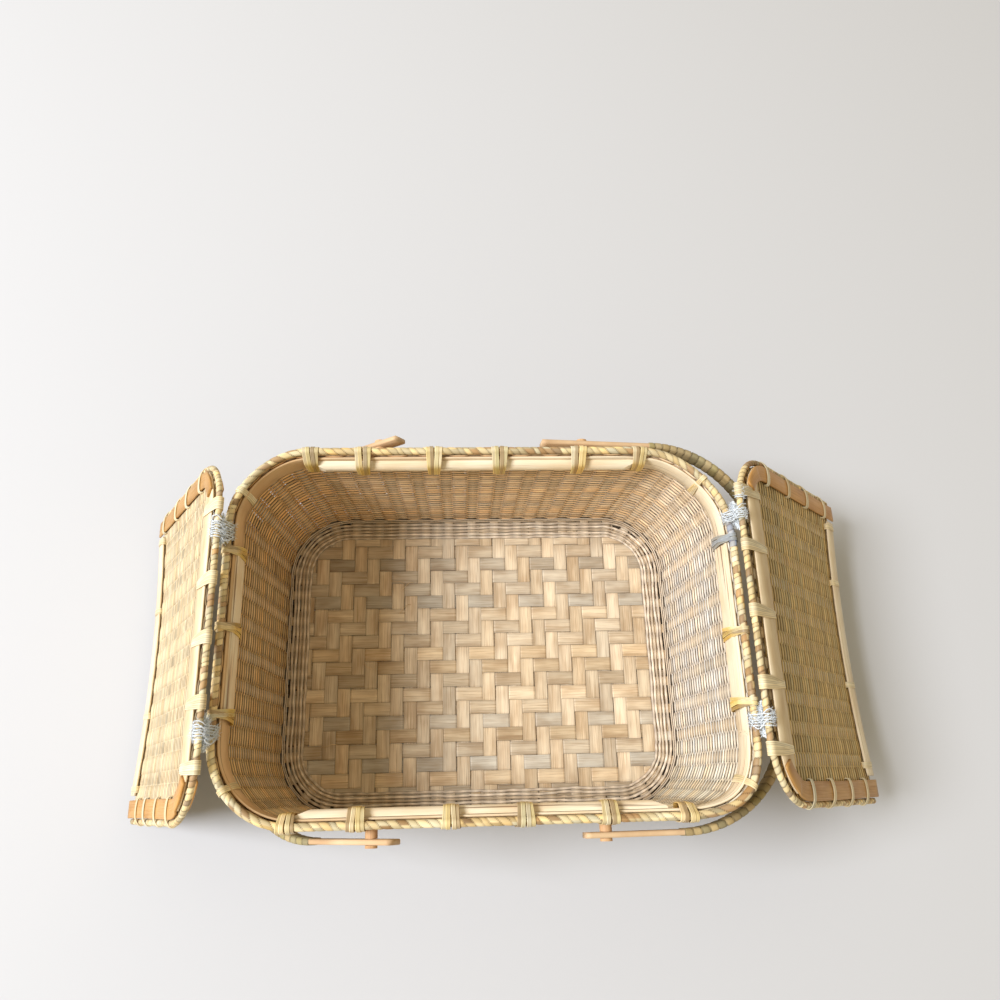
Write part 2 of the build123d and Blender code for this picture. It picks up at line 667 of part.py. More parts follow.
# Each lid: a crowned woven panel in a wrapped coil, faced with bands and strips on both sides
for side, sign in SIDES.items():
    plane = lid_plane(side)
    half = PANEL_HALF_THICKNESS

    with BuildPart() as panel:
        add(extrude(panel_outline(plane, PANEL_START, PANEL_FLAT_END), amount=half, both=True))
        add(panel_section(plane, PANEL_FLAT_END, LEAST_CROWN))
        add(panel_section(plane, LID_LENGTH, PANEL_CROWN))
        loft(ruled=True)
    panel.part.label = f"lid_{side}_panel"
    export_step(panel.part, f"parts/lid_{side}_panel.step")

    for face, low in (("inner", half), ("outer", -half - HINGE_BAND_THICKNESS)):
        with BuildPart() as band:
            outline = panel_outline(plane.offset(low), HINGE_BAND_START, HINGE_BAND_END)
            add(extrude(outline, amount=HINGE_BAND_THICKNESS))
        band.part.label = f"lid_{side}_hinge_band_{face}"
        export_step(band.part, f"parts/lid_{side}_hinge_band_{face}.step")

    with BuildPart() as coil:
        with BuildLine(plane) as lid_coil_path:
            FilletPolyline(
                (LID_LENGTH, LID_COIL_HALF_WIDTH),
                (0, LID_COIL_HALF_WIDTH),
                (0, -LID_COIL_HALF_WIDTH),
                (LID_LENGTH, -LID_COIL_HALF_WIDTH),
                radius=LID_CORNER,
            )
        with BuildSketch(cross_plane(plane, LID_LENGTH, LID_COIL_HALF_WIDTH, 0)):
            Circle(LID_COIL_RADIUS)
        sweep(path=lid_coil_path.wires()[0])
    coil.part.label = f"lid_{side}_coil"
    export_step(coil.part, f"parts/lid_{side}_coil.step")

    strip_length = SIDE_STRIP_END - SIDE_STRIP_START
    strip_middle = (SIDE_STRIP_END + SIDE_STRIP_START) / 2
    strip_across = PANEL_HALF_WIDTH - SIDE_STRIP_WIDTH / 2
    for face, low in (("inner", half), ("outer", -half - TRIM_THICKNESS)):
        with BuildPart() as strips:
            with BuildSketch(plane.offset(low)):
                with Locations((strip_middle, strip_across), (strip_middle, -strip_across)):
                    Rectangle(strip_length, SIDE_STRIP_WIDTH)
            extrude(amount=TRIM_THICKNESS)
        strips.part.label = f"lid_{side}_side_strips_{face}"
        export_step(strips.part, f"parts/lid_{side}_side_strips_{face}.step")

    edge_plane = cross_plane(plane, LID_LENGTH, 0, 0)
    lift = crown_at(EDGE_SLAT_HALF_LENGTH)
    inner_face = half + EDGE_SLAT_INNER_GAP
    outer_face = half + EDGE_SLAT_OUTER_GAP
    with BuildPart() as inner_slat:
        add(crowned_slat(edge_plane, inner_face + lift, inner_face + lift + TRIM_THICKNESS))
    inner_slat.part.label = f"lid_{side}_edge_slat_inner"
    export_step(inner_slat.part, f"parts/lid_{side}_edge_slat_inner.step")
    with BuildPart() as outer_slat:
        add(crowned_slat(edge_plane, lift - outer_face - TRIM_THICKNESS, lift - outer_face))
    outer_slat.part.label = f"lid_{side}_edge_slat_outer"
    export_step(outer_slat.part, f"parts/lid_{side}_edge_slat_outer.step")

    with BuildPart() as lashings:
        for across in HINGE_LASHINGS[side]:
            tie_plane = section_plane(plane, 0, across, 0)
            add(edge_tie(
                Plane(origin=tie_plane.origin, x_dir=-tie_plane.x_dir, z_dir=-tie_plane.z_dir),
                LID_COIL_RADIUS + LASHING_GAP, -HINGE_BAND_END - TIE_BACK_LAP,
                LID_TIE_FACE, LID_TIE_CORNER, LASHING_THICKNESS, LASHING_WIDTH,
            ))
    lashings.part.label = f"lid_{side}_hinge_lashings"
    export_step(lashings.part, f"parts/lid_{side}_hinge_lashings.step")

    with BuildPart() as side_ties:
        for across_sign, places in ((1, PLUS_SIDE_TIES[side]), (-1, MINUS_SIDE_TIES[side])):
            for along in places:
                tie_plane = cross_plane(plane, along, 0, 0)
                if across_sign < 0:
                    tie_plane = Plane(
                        origin=tie_plane.origin, x_dir=-tie_plane.x_dir, z_dir=-tie_plane.z_dir
                    )
                add(edge_tie(
                    tie_plane, LID_COIL_HALF_WIDTH + LID_COIL_RADIUS + LASHING_GAP,
                    CROWN_HALF_WIDTH - TIE_BACK_LAP, LID_TIE_FACE,
                    LID_TIE_CORNER, LID_TIE_THICKNESS, LID_TIE_WIDTH,
                ))
    side_ties.part.label = f"lid_{side}_side_ties"
    export_step(side_ties.part, f"parts/lid_{side}_side_ties.step")

    with BuildPart() as edge_ties:
        for across in EDGE_TIES[side]:
            height = crown_at(across) + (inner_face - outer_face) / 2
            add(edge_tie(
                section_plane(plane, 0, across, height), LID_LENGTH + EDGE_TIE_REACH,
                LID_LENGTH - EDGE_SLAT_WIDTH - TIE_BACK_LAP,
                (inner_face + outer_face) / 2 + TRIM_THICKNESS + EDGE_TIE_GAP,
                EDGE_TIE_CORNER, LID_TIE_THICKNESS, LID_TIE_WIDTH,
            ))
    edge_ties.part.label = f"lid_{side}_edge_ties"
    export_step(edge_ties.part, f"parts/lid_{side}_edge_ties.step")

# A short cane toggle stands out of the left lid's free edge
left_plane = lid_plane("left")
with BuildPart() as toggle:
    with BuildSketch(cross_plane(left_plane, LID_LENGTH, TOGGLE_T, crown_at(TOGGLE_T))):
        Circle(TOGGLE_RADIUS)
    extrude(amount=TOGGLE_REACH - LID_LENGTH)
    head_centre = left_plane.from_local_coords(
        Vector(TOGGLE_REACH - TOGGLE_HEAD_RADIUS, TOGGLE_T, crown_at(TOGGLE_T))
    )
    with Locations(head_centre):
        Sphere(TOGGLE_HEAD_RADIUS)
toggle.part.label = "lid_left_toggle"
export_step(toggle.part, "parts/lid_left_toggle.step")
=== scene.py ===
from math import cos, pi, radians, sin

import bpy
import numpy as np
from mathutils import Matrix


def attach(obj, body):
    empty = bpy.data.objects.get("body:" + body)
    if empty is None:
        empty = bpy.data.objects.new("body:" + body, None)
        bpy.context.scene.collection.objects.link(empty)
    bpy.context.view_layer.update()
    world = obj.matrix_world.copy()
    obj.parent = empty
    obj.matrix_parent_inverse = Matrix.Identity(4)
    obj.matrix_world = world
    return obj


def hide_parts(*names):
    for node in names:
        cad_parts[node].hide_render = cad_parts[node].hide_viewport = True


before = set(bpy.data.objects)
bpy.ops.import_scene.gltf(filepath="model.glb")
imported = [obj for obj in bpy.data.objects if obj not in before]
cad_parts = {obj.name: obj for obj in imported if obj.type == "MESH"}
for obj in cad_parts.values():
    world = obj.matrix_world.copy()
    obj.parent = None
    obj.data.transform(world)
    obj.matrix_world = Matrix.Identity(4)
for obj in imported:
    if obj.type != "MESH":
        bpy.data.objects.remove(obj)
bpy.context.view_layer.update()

# Sizes repeat the CAD's, in millimetres; a piece is scaled to metres when it is made
MM = 0.001
SIDES = {"right": 1, "left": -1}
SIDE_CELLS = (13, 8, 22, 8, 13, 8, 22, 8)
CELLS = sum(SIDE_CELLS)
FLOOR_TOP = 4.0
WALL_FOOT = (179.7, 136.2, 53.5)
WALL_KNEE = (183.2, 139.6, 57.0)
KNEE_Z = 9.0
BAND_TOP = 175.0
WALL_TOP = (198.5, 141.0, 58.5)
RIM_COIL = (200.0, 142.4, 60.0)
RIM_COIL_Z = 178.0
RIM_COIL_RADIUS = 3.0
LID_COIL_RADIUS = 2.5
HINGE_X = 205.5
HINGE_Z = 189.0
LID_DROP = {"right": 46.0, "left": 60.0}
LID_LENGTH = 199.0
PANEL_HALF = 135.5
CROWN_HALF = 120.5
CROWN = 5.0
PIVOT_X = 85.0
PIVOT_Z = 161.0
HANDLE_DROP = {"right": 6.0, "left": 38.0}
BOW_REACH = 150.0
LEG_SPAN = 154.0
BOW_CORNER = 90.0
LEG_TAILS = {"right": (35.0, 16.0), "left": (22.0, 22.0)}
WRAP_START = 58.0


def srgb(r, g, b):
    """A colour given as 0-255 screen values, as linear RGBA."""
    values = [c / 255 for c in (r, g, b)]
    return tuple(c / 12.92 if c <= 0.04045 else ((c + 0.055) / 1.055) ** 2.4 for c in values) + (1.0,)


def unit(vectors):
    vectors = np.asarray(vectors, float)
    return vectors / np.maximum(np.linalg.norm(vectors, axis=-1, keepdims=True), 1e-9)


def travelled(points):
    """Distances along a polyline."""
    return np.concatenate([[0], np.cumsum(np.linalg.norm(np.diff(points, axis=0), axis=1))])


def linked(name, data):
    """A new object in the scene."""
    obj = bpy.data.objects.new(name, data)
    bpy.context.scene.collection.objects.link(obj)
    return obj


def flat_section(width, thick):
    """A flat strand, thinner at its edges."""
    outline = ((-1, 0), (-0.7, 1), (0, 1.1), (0.7, 1), (1, 0), (0.7, -1), (-0.7, -1))
    return np.array([(x * width / 2, y * thick / 2) for x, y in outline])


def board_section(width, thick, bevel=0.4):
    """A rectangular strip with softened edges."""
    w, t = width / 2, thick / 2
    b = min(bevel, t * 0.9)
    return np.array([
        (-w, t - b), (-w + b, t), (0, t * 1.02), (w - b, t), (w, t - b),
        (w, b - t), (w - b, -t), (0, -t), (b - w, -t), (-w, b - t),
    ])


def round_section(radius, count=8):
    angles = np.arange(count) * 2 * pi / count
    return np.stack([np.cos(angles), -np.sin(angles)], 1) * radius


RIBS = ((-1, 0), (-0.88, 0.8), (-0.6, 1), (-0.33, 0.62), (0, 1), (0.33, 0.62), (0.6, 1), (0.88, 0.8), (1, 0))


def ribbed_section(width, thick):
    """A flat cane with two shallow grooves along its face."""
    top = [(x * width / 2, y * thick / 2) for x, y in RIBS]
    return np.array(top + [(width * 0.44, -thick / 2), (-width * 0.44, -thick / 2)])


# Painted shade in the cane's grooves and along its edges
RIB_GROOVE_SHADE = np.array([0.3, 0, 0, 0.4, 0, 0.4, 0, 0, 0.3, 0.3, 0.3])


def chaikin(points, rounds=3, closed=False):
    """Rounds the corners of a polyline by cutting them."""
    points = np.asarray(points, float)
    for _ in range(rounds):
        ahead = np.roll(points, -1, 0) if closed else points[1:]
        here = points if closed else points[:-1]
        cut = np.stack([here * 0.75 + ahead * 0.25, here * 0.25 + ahead * 0.75], 1)
        cut = cut.reshape(-1, points.shape[1])
        points = cut if closed else np.concatenate([points[:1], cut, points[-1:]])
    return points


def resample(points, step=None, count=None, closed=False):
    """Points at even distances along a polyline."""
    points = np.asarray(points, float)
    if closed:
        points = np.concatenate([points, points[:1]])
    travel = travelled(points)
    count = count or max(2, int(round(travel[-1] / step)) + 1)
    places = np.linspace(0, travel[-1], count + 1)[:-1] if closed else np.linspace(0, travel[-1], count)
    return np.stack([np.interp(places, travel, points[:, k]) for k in range(points.shape[1])], 1)


def filleted(corners, radius, arc_points=24):
    """An open 2-D polyline with every inner corner rounded to a radius."""
    corners = [np.asarray(c, float) for c in corners]
    points = [corners[0]]
    for before, here, after in zip(corners, corners[1:], corners[2:]):
        a, b = unit(before - here), unit(after - here)
        half = np.arccos(np.clip(a @ b, -1, 1)) / 2
        reach = radius / np.tan(half)
        centre = here + unit(a + b) * radius / np.sin(half)
        start = here + a * reach - centre
        end = here + b * reach - centre
        sweep = np.arccos(np.clip(unit(start) @ unit(end), -1, 1))
        for share in np.linspace(0, 1, arc_points):
            points.append(centre + (start * sin((1 - share) * sweep) + end * sin(share * sweep)) / sin(sweep))
    points.append(corners[-1])
    return np.array(points)


def around(q, half_x, half_y, corner):
    """Places and outward normals on rounded rectangles, q counting the wall's cells."""
    sizes = np.broadcast_arrays(np.mod(q, CELLS), half_x, half_y, corner)
    q, half_x, half_y, corner = (values[..., None] for values in sizes)
    place = normal = np.zeros(q.shape[:-1] + (2,))
    past = q
    for k in range(4):
        line, arc = SIDE_CELLS[2 * k:2 * k + 2]
        out = np.array([round(cos(k * pi / 2)), round(sin(k * pi / 2))])
        along = np.array([-out[1], out[0]])
        half_out, half_along = (half_x, half_y) if k % 2 == 0 else (half_y, half_x)
        angle = (k + (past - line) / arc) * pi / 2
        spoke = np.concatenate([np.cos(angle), np.sin(angle)], -1)
        on_line = out * half_out + along * (half_along - corner) * (past / line * 2 - 1)
        on_arc = out * (half_out - corner) + along * (half_along - corner) + spoke * corner
        for low, high, there, way in ((0, line, on_line, out), (line, line + arc, on_arc, spoke)):
            here = (past >= low) & (past < high)
            place, normal = np.where(here, there, place), np.where(here, way, normal)
        past = past - (line + arc)
    return place, normal


def raised(places, z):
    """2-D places or ways with a height added."""
    return np.column_stack([places, np.broadcast_to(float(z) if np.ndim(z) == 0 else z, len(places))])


def ring_path(size, z, step):
    """Even points and outward normals round a rounded rectangle."""
    place, normal = around(np.linspace(0, CELLS, 900)[:-1], *size)
    both = resample(np.concatenate([place, normal * 1e-6], 1), step=step, closed=True)
    return raised(both[:, :2], z), raised(unit(both[:, 2:]), 0)


def cell_ring(size, z, offset=0.0):
    """Points at every half cell of a rounded rectangle, moved outwards, and the outward ways there."""
    place, normal = around(np.arange(0, CELLS, 0.5), *size)
    return raised(place + normal * np.reshape(offset, (-1, 1)), z), raised(normal, 0)


CORNER_SKEW = {(1, 1): (-7.0, 88.0), (1, -1): (6.5, 60.0), (-1, 1): (-1.5, 60.0)}


def skewed(points):
    """The handmade rim is not true: two of its corners stand out or fall in, more so towards the top."""
    points = points.copy()
    for (x_sign, y_sign), (amount, extent) in CORNER_SKEW.items():
        past_x = np.maximum(points[:, 0] * x_sign - RIM_COIL[0] + extent, 0)
        past_y = np.maximum(points[:, 1] * y_sign - RIM_COIL[1] + extent, 0)
        reach = np.hypot(past_x, past_y)
        share = (2 * past_x * past_y / np.maximum(reach, 1e-6) ** 2) ** 2 * np.minimum(reach / extent, 1)
        push = amount * share * np.clip(points[:, 2] / RIM_COIL_Z, 0, 1) * 0.5 ** 0.5
        points[:, 0] += push * x_sign
        points[:, 1] += push * y_sign
    return points


class Batch:
    """Collects many strands in one mesh, with the attributes that the materials read."""

    def __init__(self, seed):
        self.random = np.random.default_rng(seed)
        self.verts, self.faces, self.lay, self.tint, self.crease = [], [], [], [], []
        self.count = 0

    def shade(self, spread=0.1, warm=0.04, low=0.0):
        """A strand's own tint: mostly lightness, with a little warmth."""
        light = 1 + self.random.normal(0, spread) - low
        hue = self.random.normal(0, warm)
        return np.clip([light * (1 + hue), light, light * (1 - 1.6 * hue)], 0.25, 1.6)

    def tube(self, centres, sides, ups, section, closed=False, tint=None, crease=0.0):
        """A swept tube: the section's first value runs along the side, its second along the up."""
        n = len(centres)
        section = np.asarray(section, float)
        if section.ndim == 2:
            section = np.broadcast_to(section, (n,) + section.shape)
        m = section.shape[1]
        grid = centres[:, None] + sides[:, None] * section[..., :1] + ups[:, None] * section[..., 1:2]
        along = np.broadcast_to(travelled(centres)[:, None], (n, m))
        seed = np.full((n, m), self.random.uniform(0, 50))
        index = np.arange(n * m).reshape(n, m) + self.count
        here = index if closed else index[:-1]
        ahead = np.roll(index, -1, 0)[:len(here)]
        faces = np.stack([here, np.roll(here, -1, 1), np.roll(ahead, -1, 1), ahead], -1)
        self.faces += faces.reshape(-1, 4).tolist()
        if not closed:
            self.faces += [index[0, ::-1].tolist(), index[-1].tolist()]
        self.verts.append(grid.reshape(-1, 3))
        self.lay.append(np.dstack([along * MM, section[..., 0] * MM, seed]).reshape(-1, 3))
        tint = np.broadcast_to(self.shade() if tint is None else tint, (n, m, 3))
        self.tint.append(np.dstack([tint, np.ones((n, m))]).reshape(-1, 4))
        self.crease.append(np.broadcast_to(crease, (n, m)).ravel())
        self.count += n * m

    def sweep(self, points, hint, section, closed=False, **more):
        """A tube along points, its up kept near a hint."""
        points = np.asarray(points, float)
        tangent = np.roll(points, -1, 0) - np.roll(points, 1, 0) if closed else np.gradient(points, axis=0)
        tangent = unit(tangent)
        side = unit(np.cross(tangent, hint))
        self.tube(points, side, np.cross(side, tangent), section, closed, **more)

    def build(self, name, material, body, slot, replaces=(), smooth=True):
        """One piece from all the strands, riding on a body."""
        mesh = bpy.data.meshes.new(name)
        verts = np.concatenate(self.verts)
        if body == "basket":
            verts = skewed(verts)
        mesh.from_pydata((verts * MM).tolist(), [], self.faces)
        mesh.polygons.foreach_set("use_smooth", [smooth] * len(mesh.polygons))
        # The third attribute carries painted shade for gaps, grooves and strand edges
        for attribute, kind, key, values in (
            ("lay", "FLOAT_VECTOR", "vector", self.lay),
            ("tint", "FLOAT_COLOR", "color", self.tint),
            ("crease", "FLOAT", "value", self.crease),
        ):
            data = mesh.attributes.new(attribute, kind, "POINT").data
            data.foreach_set(key, np.concatenate(values).astype(np.float32).ravel())
        mesh.materials.append(material)
        mesh.update()
        piece = linked(name, mesh)
        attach(piece, body)
        if replaces:
            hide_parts(*replaces)


# Materials
def add_node(tree, kind, **values):
    """A shader node with some of its settings or inputs given."""
    node = tree.nodes.new(kind)
    for key, value in values.items():
        if hasattr(node, key):
            setattr(node, key, value)
        else:
            node.inputs[key.replace("_", " ")].default_value = value
    return node


def shaded(name):
    """A new material, its node tree and its shader's inputs."""
    material = bpy.data.materials.new(name)
    material.use_nodes = True
    tree = material.node_tree
    return material, tree, tree.nodes["Principled BSDF"].inputs


def cane(name, colour, dark, light, streak=0.35, mottle=0.35, rough=0.55, fine=1.0,
         crease_colour=(70, 42, 20), coords=None, cracks=0.0, painted_shade_below=None):
    """Dry split bamboo or cane: fibres along the strand, soft patches and tints, with painted shade darkening
    gaps, grooves and strand edges.
    """
    material, tree, shader = shaded(name)
    link = tree.links.new
    if coords is None:
        lay = add_node(tree, "ShaderNodeAttribute", attribute_name="lay").outputs["Vector"]
        fibre_scale, patch_scale = (35.0, 1700.0 * fine, 1.0), (28.0, 60.0, 1.0)
        crack_scale = (7.0, 420.0, 1.0)
    else:
        lay = add_node(tree, "ShaderNodeTexCoord").outputs["Object"]
        fibre_scale, patch_scale, crack_scale = (
            tuple(along if k == coords else across for k in range(3))
            for along, across in ((35.0, 1700.0 * fine), (20.0, 60.0), (7.0, 330.0)))

    def stretched(scale, detail):
        spread = add_node(tree, "ShaderNodeVectorMath", operation="MULTIPLY")
        link(lay, spread.inputs[0])
        spread.inputs[1].default_value = scale
        noise = add_node(tree, "ShaderNodeTexNoise", Scale=1.0, Detail=detail, Roughness=0.55)
        link(spread.outputs[0], noise.inputs["Vector"])
        return noise.outputs["Fac"]

    def ranged(value, low, high, out_low, out_high):
        node = add_node(tree, "ShaderNodeMapRange", From_Min=low, From_Max=high, To_Min=out_low,
                        To_Max=out_high)
        link(value, node.inputs["Value"])
        return node.outputs["Result"]

    def mix(factor, a, b, blend="MIX"):
        node = add_node(tree, "ShaderNodeMix", data_type="RGBA", blend_type=blend)
        for socket, value in ((node.inputs["Factor"], factor), (node.inputs["A"], a), (node.inputs["B"], b)):
            if isinstance(value, (int, float, tuple)):
                socket.default_value = value
            else:
                link(value, socket)
        return node.outputs["Result"]

    fibre = stretched(fibre_scale, 4.0)
    patch = stretched(patch_scale, 2.0)
    tone = mix(ranged(patch, 0.35, 0.7, 0, mottle), srgb(*colour), srgb(*dark))
    tone = mix(ranged(patch, 0.62, 0.35, 0, mottle), tone, srgb(*light))
    tone = mix(ranged(fibre, 0.5, 0.72, 0, streak), tone, srgb(*dark))
    tone = mix(ranged(fibre, 0.46, 0.3, 0, streak * 0.7), tone, srgb(*light))
    if cracks:
        tone = mix(ranged(stretched(crack_scale, 2.0), 0.6, 0.67, 0, cracks), tone, srgb(126, 84, 50))
    # Painted shade: below a given height, with a noisy edge, the colour turns tan
    if painted_shade_below:
        spot = add_node(tree, "ShaderNodeSeparateXYZ")
        link(add_node(tree, "ShaderNodeNewGeometry").outputs["Position"], spot.inputs[0])
        uneven = add_node(tree, "ShaderNodeMath", operation="MULTIPLY_ADD")
        link(stretched((9.0, 9.0, 9.0), 3.0), uneven.inputs[0])
        uneven.inputs[1].default_value = 0.012
        link(spot.outputs["Z"], uneven.inputs[2])
        below = ranged(uneven.outputs[0], painted_shade_below + 0.0075, painted_shade_below + 0.0045, 0, 0.8)
        tone = mix(below, tone, srgb(206, 156, 104))
    if coords is None:
        tint = add_node(tree, "ShaderNodeAttribute", attribute_name="tint").outputs["Color"]
        # Painted shade: the last attribute mixes the colour towards a dark brown in gaps, grooves and along
        # strand edges
        crease = add_node(tree, "ShaderNodeAttribute", attribute_name="crease").outputs["Fac"]
        tone = mix(1.0, tone, tint, "MULTIPLY")
        tone = mix(crease, tone, srgb(*crease_colour))
    link(tone, shader["Base Color"])
    link(ranged(fibre, 0.3, 0.7, rough - 0.08, rough + 0.12), shader["Roughness"])
    shader["Specular IOR Level"].default_value = 0.35
    lift = add_node(tree, "ShaderNodeBump", Strength=0.25, Distance=0.0004)
    link(fibre, lift.inputs["Height"])
    link(lift.outputs["Normal"], shader["Normal"])
    return material


floor_cane = cane("floor_strips", (225, 203, 170), (166, 136, 100), (243, 228, 199), 0.7, 0.5, fine=0.8,
                  crease_colour=(58, 34, 16))
wall_cane = cane("wall_strands", (242, 226, 202), (206, 174, 132), (252, 243, 224), 0.3, 0.24,
                 crease_colour=(74, 38, 14))
lid_cane = cane("lid_strands", (229, 206, 158), (190, 156, 102), (242, 226, 184), 0.3, 0.26,
                crease_colour=(84, 46, 14))
stake_cane = cane("wall_stakes", (234, 214, 182), (192, 156, 114), (248, 234, 208), mottle=0.25,
                  crease_colour=(34, 18, 8))
band_cane = cane("split_bands", (246, 230, 198), (216, 182, 136), (254, 245, 222), rough=0.5, cracks=0.6)
coil_cane = cane("coil_winding", (234, 214, 164), (188, 150, 98), (248, 234, 192), mottle=0.4,
                 crease_colour=(78, 46, 22))
tie_cane = cane("lashing_cane", (238, 218, 160), (200, 164, 100), (250, 238, 190), mottle=0.4, rough=0.4)
pale_tie = cane("pale_ties", (242, 226, 184), (206, 174, 120), (252, 242, 212), 0.3, 0.3, rough=0.45)
tan_cane = cane("tan_band", (226, 202, 158), (186, 148, 100), (240, 222, 186))
brown_cane = cane("brown_strips", (206, 154, 84), (150, 102, 46), (228, 184, 118), 0.4, 0.4, rough=0.42)
handle_cane = cane("handle_strip", (222, 186, 142), (170, 126, 86), (240, 216, 180), 0.45)
grip_cane = cane("handle_winding", (184, 164, 122), (126, 106, 70), (214, 198, 156), 0.4, 0.4,
                 crease_colour=(36, 22, 12))
peg_cane = cane("pegs", (212, 168, 120), (156, 110, 72), (232, 198, 154), 0.5, coords=1)


def twine_look():
    """Soft white cotton."""
    material, tree, shader = shaded("twine")
    noise = add_node(tree, "ShaderNodeTexNoise", Scale=900.0)
    tree.links.new(add_node(tree, "ShaderNodeTexCoord").outputs["Object"], noise.inputs["Vector"])
    blend = add_node(tree, "ShaderNodeMix", data_type="RGBA", A=srgb(216, 228, 238), B=srgb(250, 252, 254))
    tree.links.new(noise.outputs["Fac"], blend.inputs["Factor"])
    tree.links.new(blend.outputs["Result"], shader["Base Color"])
    shader["Roughness"].default_value = 0.9
    return material


twine_material = twine_look()

# Floor: flat strips in a 2/2 twill, clipped to the foot of the wall
FLOOR_HALF = (178.0, 134.5, 51.5)
STRIP_THICK = 0.95
STRIP_LIFT = 0.55
COLUMN_PITCH = 12.39
COLUMN_START = 8.4
ROW_PITCH = 12.65
ROW_START = 68.0
# Painted shade along the strips' edges, where they meet
STRIP_EDGE_SHADE = np.array([0.75, 0.2, 0, 0.2, 0.75, 0.75, 0, 0, 0, 0.75])
CHIP_CURL = ((5, (0, 0, 1.2)), (9, (1.5, 2, 1.8)), (11, (4, 1, 0.6)))
UPWARD = (0, 0, 1)


def half_extent(other, half_a, half_b, corner):
    """How far the floor reaches along one way, at a place on the other."""
    past = max(0.0, abs(other) - (half_b - corner))
    return half_a - corner + max(0.0, corner ** 2 - past ** 2) ** 0.5


def twill_strips():
    batch = Batch(11)
    rng = batch.random
    middle = FLOOR_TOP - STRIP_LIFT - STRIP_THICK / 2
    columns = np.array([(j, COLUMN_START + COLUMN_PITCH * j) for j in range(-15, 14)])
    rows = np.array([(r, ROW_START - ROW_PITCH * r) for r in range(15, -6, -1)])
    ways = (
        (rows[::-1], columns, FLOOR_HALF[0], FLOOR_HALF[1], ROW_PITCH, COLUMN_PITCH),
        (columns, rows, FLOOR_HALF[1], FLOOR_HALF[0], COLUMN_PITCH, ROW_PITCH),
    )
    for way, (strips, crossings, half_here, half_other, pitch, cross_pitch) in enumerate(ways):
        for number, nominal in strips:
            place = nominal + rng.normal(0, 0.2)
            reach = half_extent(abs(place) + pitch / 2, half_here, half_other, FLOOR_HALF[2])
            if abs(place) > half_other - 3 or reach < 12:
                continue
            past = crossings[:, 0] - number
            over = past % 4 >= 2 if way == 0 else -past % 4 < 2
            edges = (crossings[:, 1:] + np.array([-0.4, 0.0, 0.4]) * cross_pitch).ravel()
            heights = middle + np.where(over, STRIP_LIFT, -STRIP_LIFT)[:, None] + np.array([0, 0.05, 0])
            run = np.concatenate([[-reach], edges[np.abs(edges) < reach], [reach]])
            high = np.interp(run, edges, heights.ravel())
            flat = place + rng.normal(0, 0.25) * run / reach
            points = np.stack([run, flat, high] if way == 0 else [flat, run, high], 1)
            section = board_section(pitch - 0.3 + rng.normal(0, 0.12), STRIP_THICK, 0.3)
            tint = batch.shade(0.10, 0.05, 0.08) if way == 0 else batch.shade(0.06, 0.025, -0.06)
            wander = 1 + 0.06 * np.sin(run / 37 + rng.uniform(0, 6))
            tints = tint * wander[:, None, None] * np.ones((len(run), 10, 1))
            batch.sweep(points, UPWARD, section, tint=tints, crease=STRIP_EDGE_SHADE)
    for _ in range(5):
        start = np.array([rng.normal(-60, 75), rng.normal(20, 45), FLOOR_TOP + 0.3])
        way = unit([rng.normal(), rng.normal(), 0.0])
        curl = [start] + [start + way * run + end for run, end in CHIP_CURL]
        curl = resample(chaikin(curl, 2), count=12)
        batch.sweep(curl, UPWARD, round_section(0.22, 5), tint=(1.1, 1.05, 0.9))
    batch.build("floor_twill", floor_cane, "basket", "woven_bamboo", ["floor_weave"], smooth=False)


twill_strips()

# The weave of walls and lids: wide strands pass inside at every second stake, with thin strands the
# other way between them. A track is one pair of stakes: places in cells, and lift towards the outside
STAKE_THICK = 0.8
STRAND_THICK = 0.95
WEAVE_LIFT = (STAKE_THICK + STRAND_THICK) / 2 + 0.05
WIDE_TRACK = np.array([
    (0.14, 0.0), (0.22, 0.95), (0.5, 1.05), (0.78, 0.95), (0.86, 0.0),
    (0.97, -0.75), (1.2, -1.0), (1.5, -1.08), (1.8, -1.0), (2.03, -0.75),
])
THIN_TRACK = np.array([
    (0.1, -0.8), (0.5, -0.95), (0.9, -0.8), (1.08, 0.0), (1.24, 0.9), (1.76, 0.9), (1.92, 0.0),
])
# Painted shade for the weave: darker along strand edges and in the gaps between strands, and stakes seen only
# through gaps painted almost fully dark
WIDE_GAP_SHADE = np.array([0.6, 0.4, 0.2, 0.4, 0.6, 0.3, 0.02, 0, 0.02, 0.3])
EDGE_GAP_SHADE = np.array([0.6, 0.05, 0, 0.05, 0.6, 0, 0])
STAKE_GAP_SHADE = np.array([0.9, 0.35, 0, 0.35, 0.9, 0.9, 0.35, 0, 0.35, 0.9])
HIDDEN_STAKE_SHADE = np.array([0.97, 0.95, 0.35, 0.95, 0.97, 0.97, 0.95, 0.35, 0.95, 0.97])
THIN_WIDTH = 2.5
THIN_THICK = 0.55
THIN_LIFT = (STAKE_THICK + THIN_THICK) / 2 + 0.03
THIN_GAP_SHADE = np.array([0.85, 0.15, 0, 0.15, 0.85, 0, 0])


def along_track(track, pairs):
    """Places in cells and lifts of a strand over many pairs of stakes."""
    places = (2 * np.arange(pairs)[:, None] + track[None, :, 0]).ravel()
    return places, np.tile(track[:, 1], pairs)


def wall_section(z):
    """Half length, half width and corner of the wall's middle at heights z."""
    z = np.asarray(z, float)
    knee = np.clip(z / KNEE_Z, 0, 1)
    rest = np.clip((z - KNEE_Z) / (BAND_TOP - KNEE_Z), 0, 1)
    return [f + (k - f) * knee + (t - k) * rest for f, k, t in zip(WALL_FOOT, WALL_KNEE, WALL_TOP)]


def smooth_noise(random, count, spread, window=5):
    """Random values that change slowly along a strand."""
    noise = random.normal(0, spread, count + window)
    return np.convolve(noise, np.ones(window) / window ** 0.5, "same")[:count]


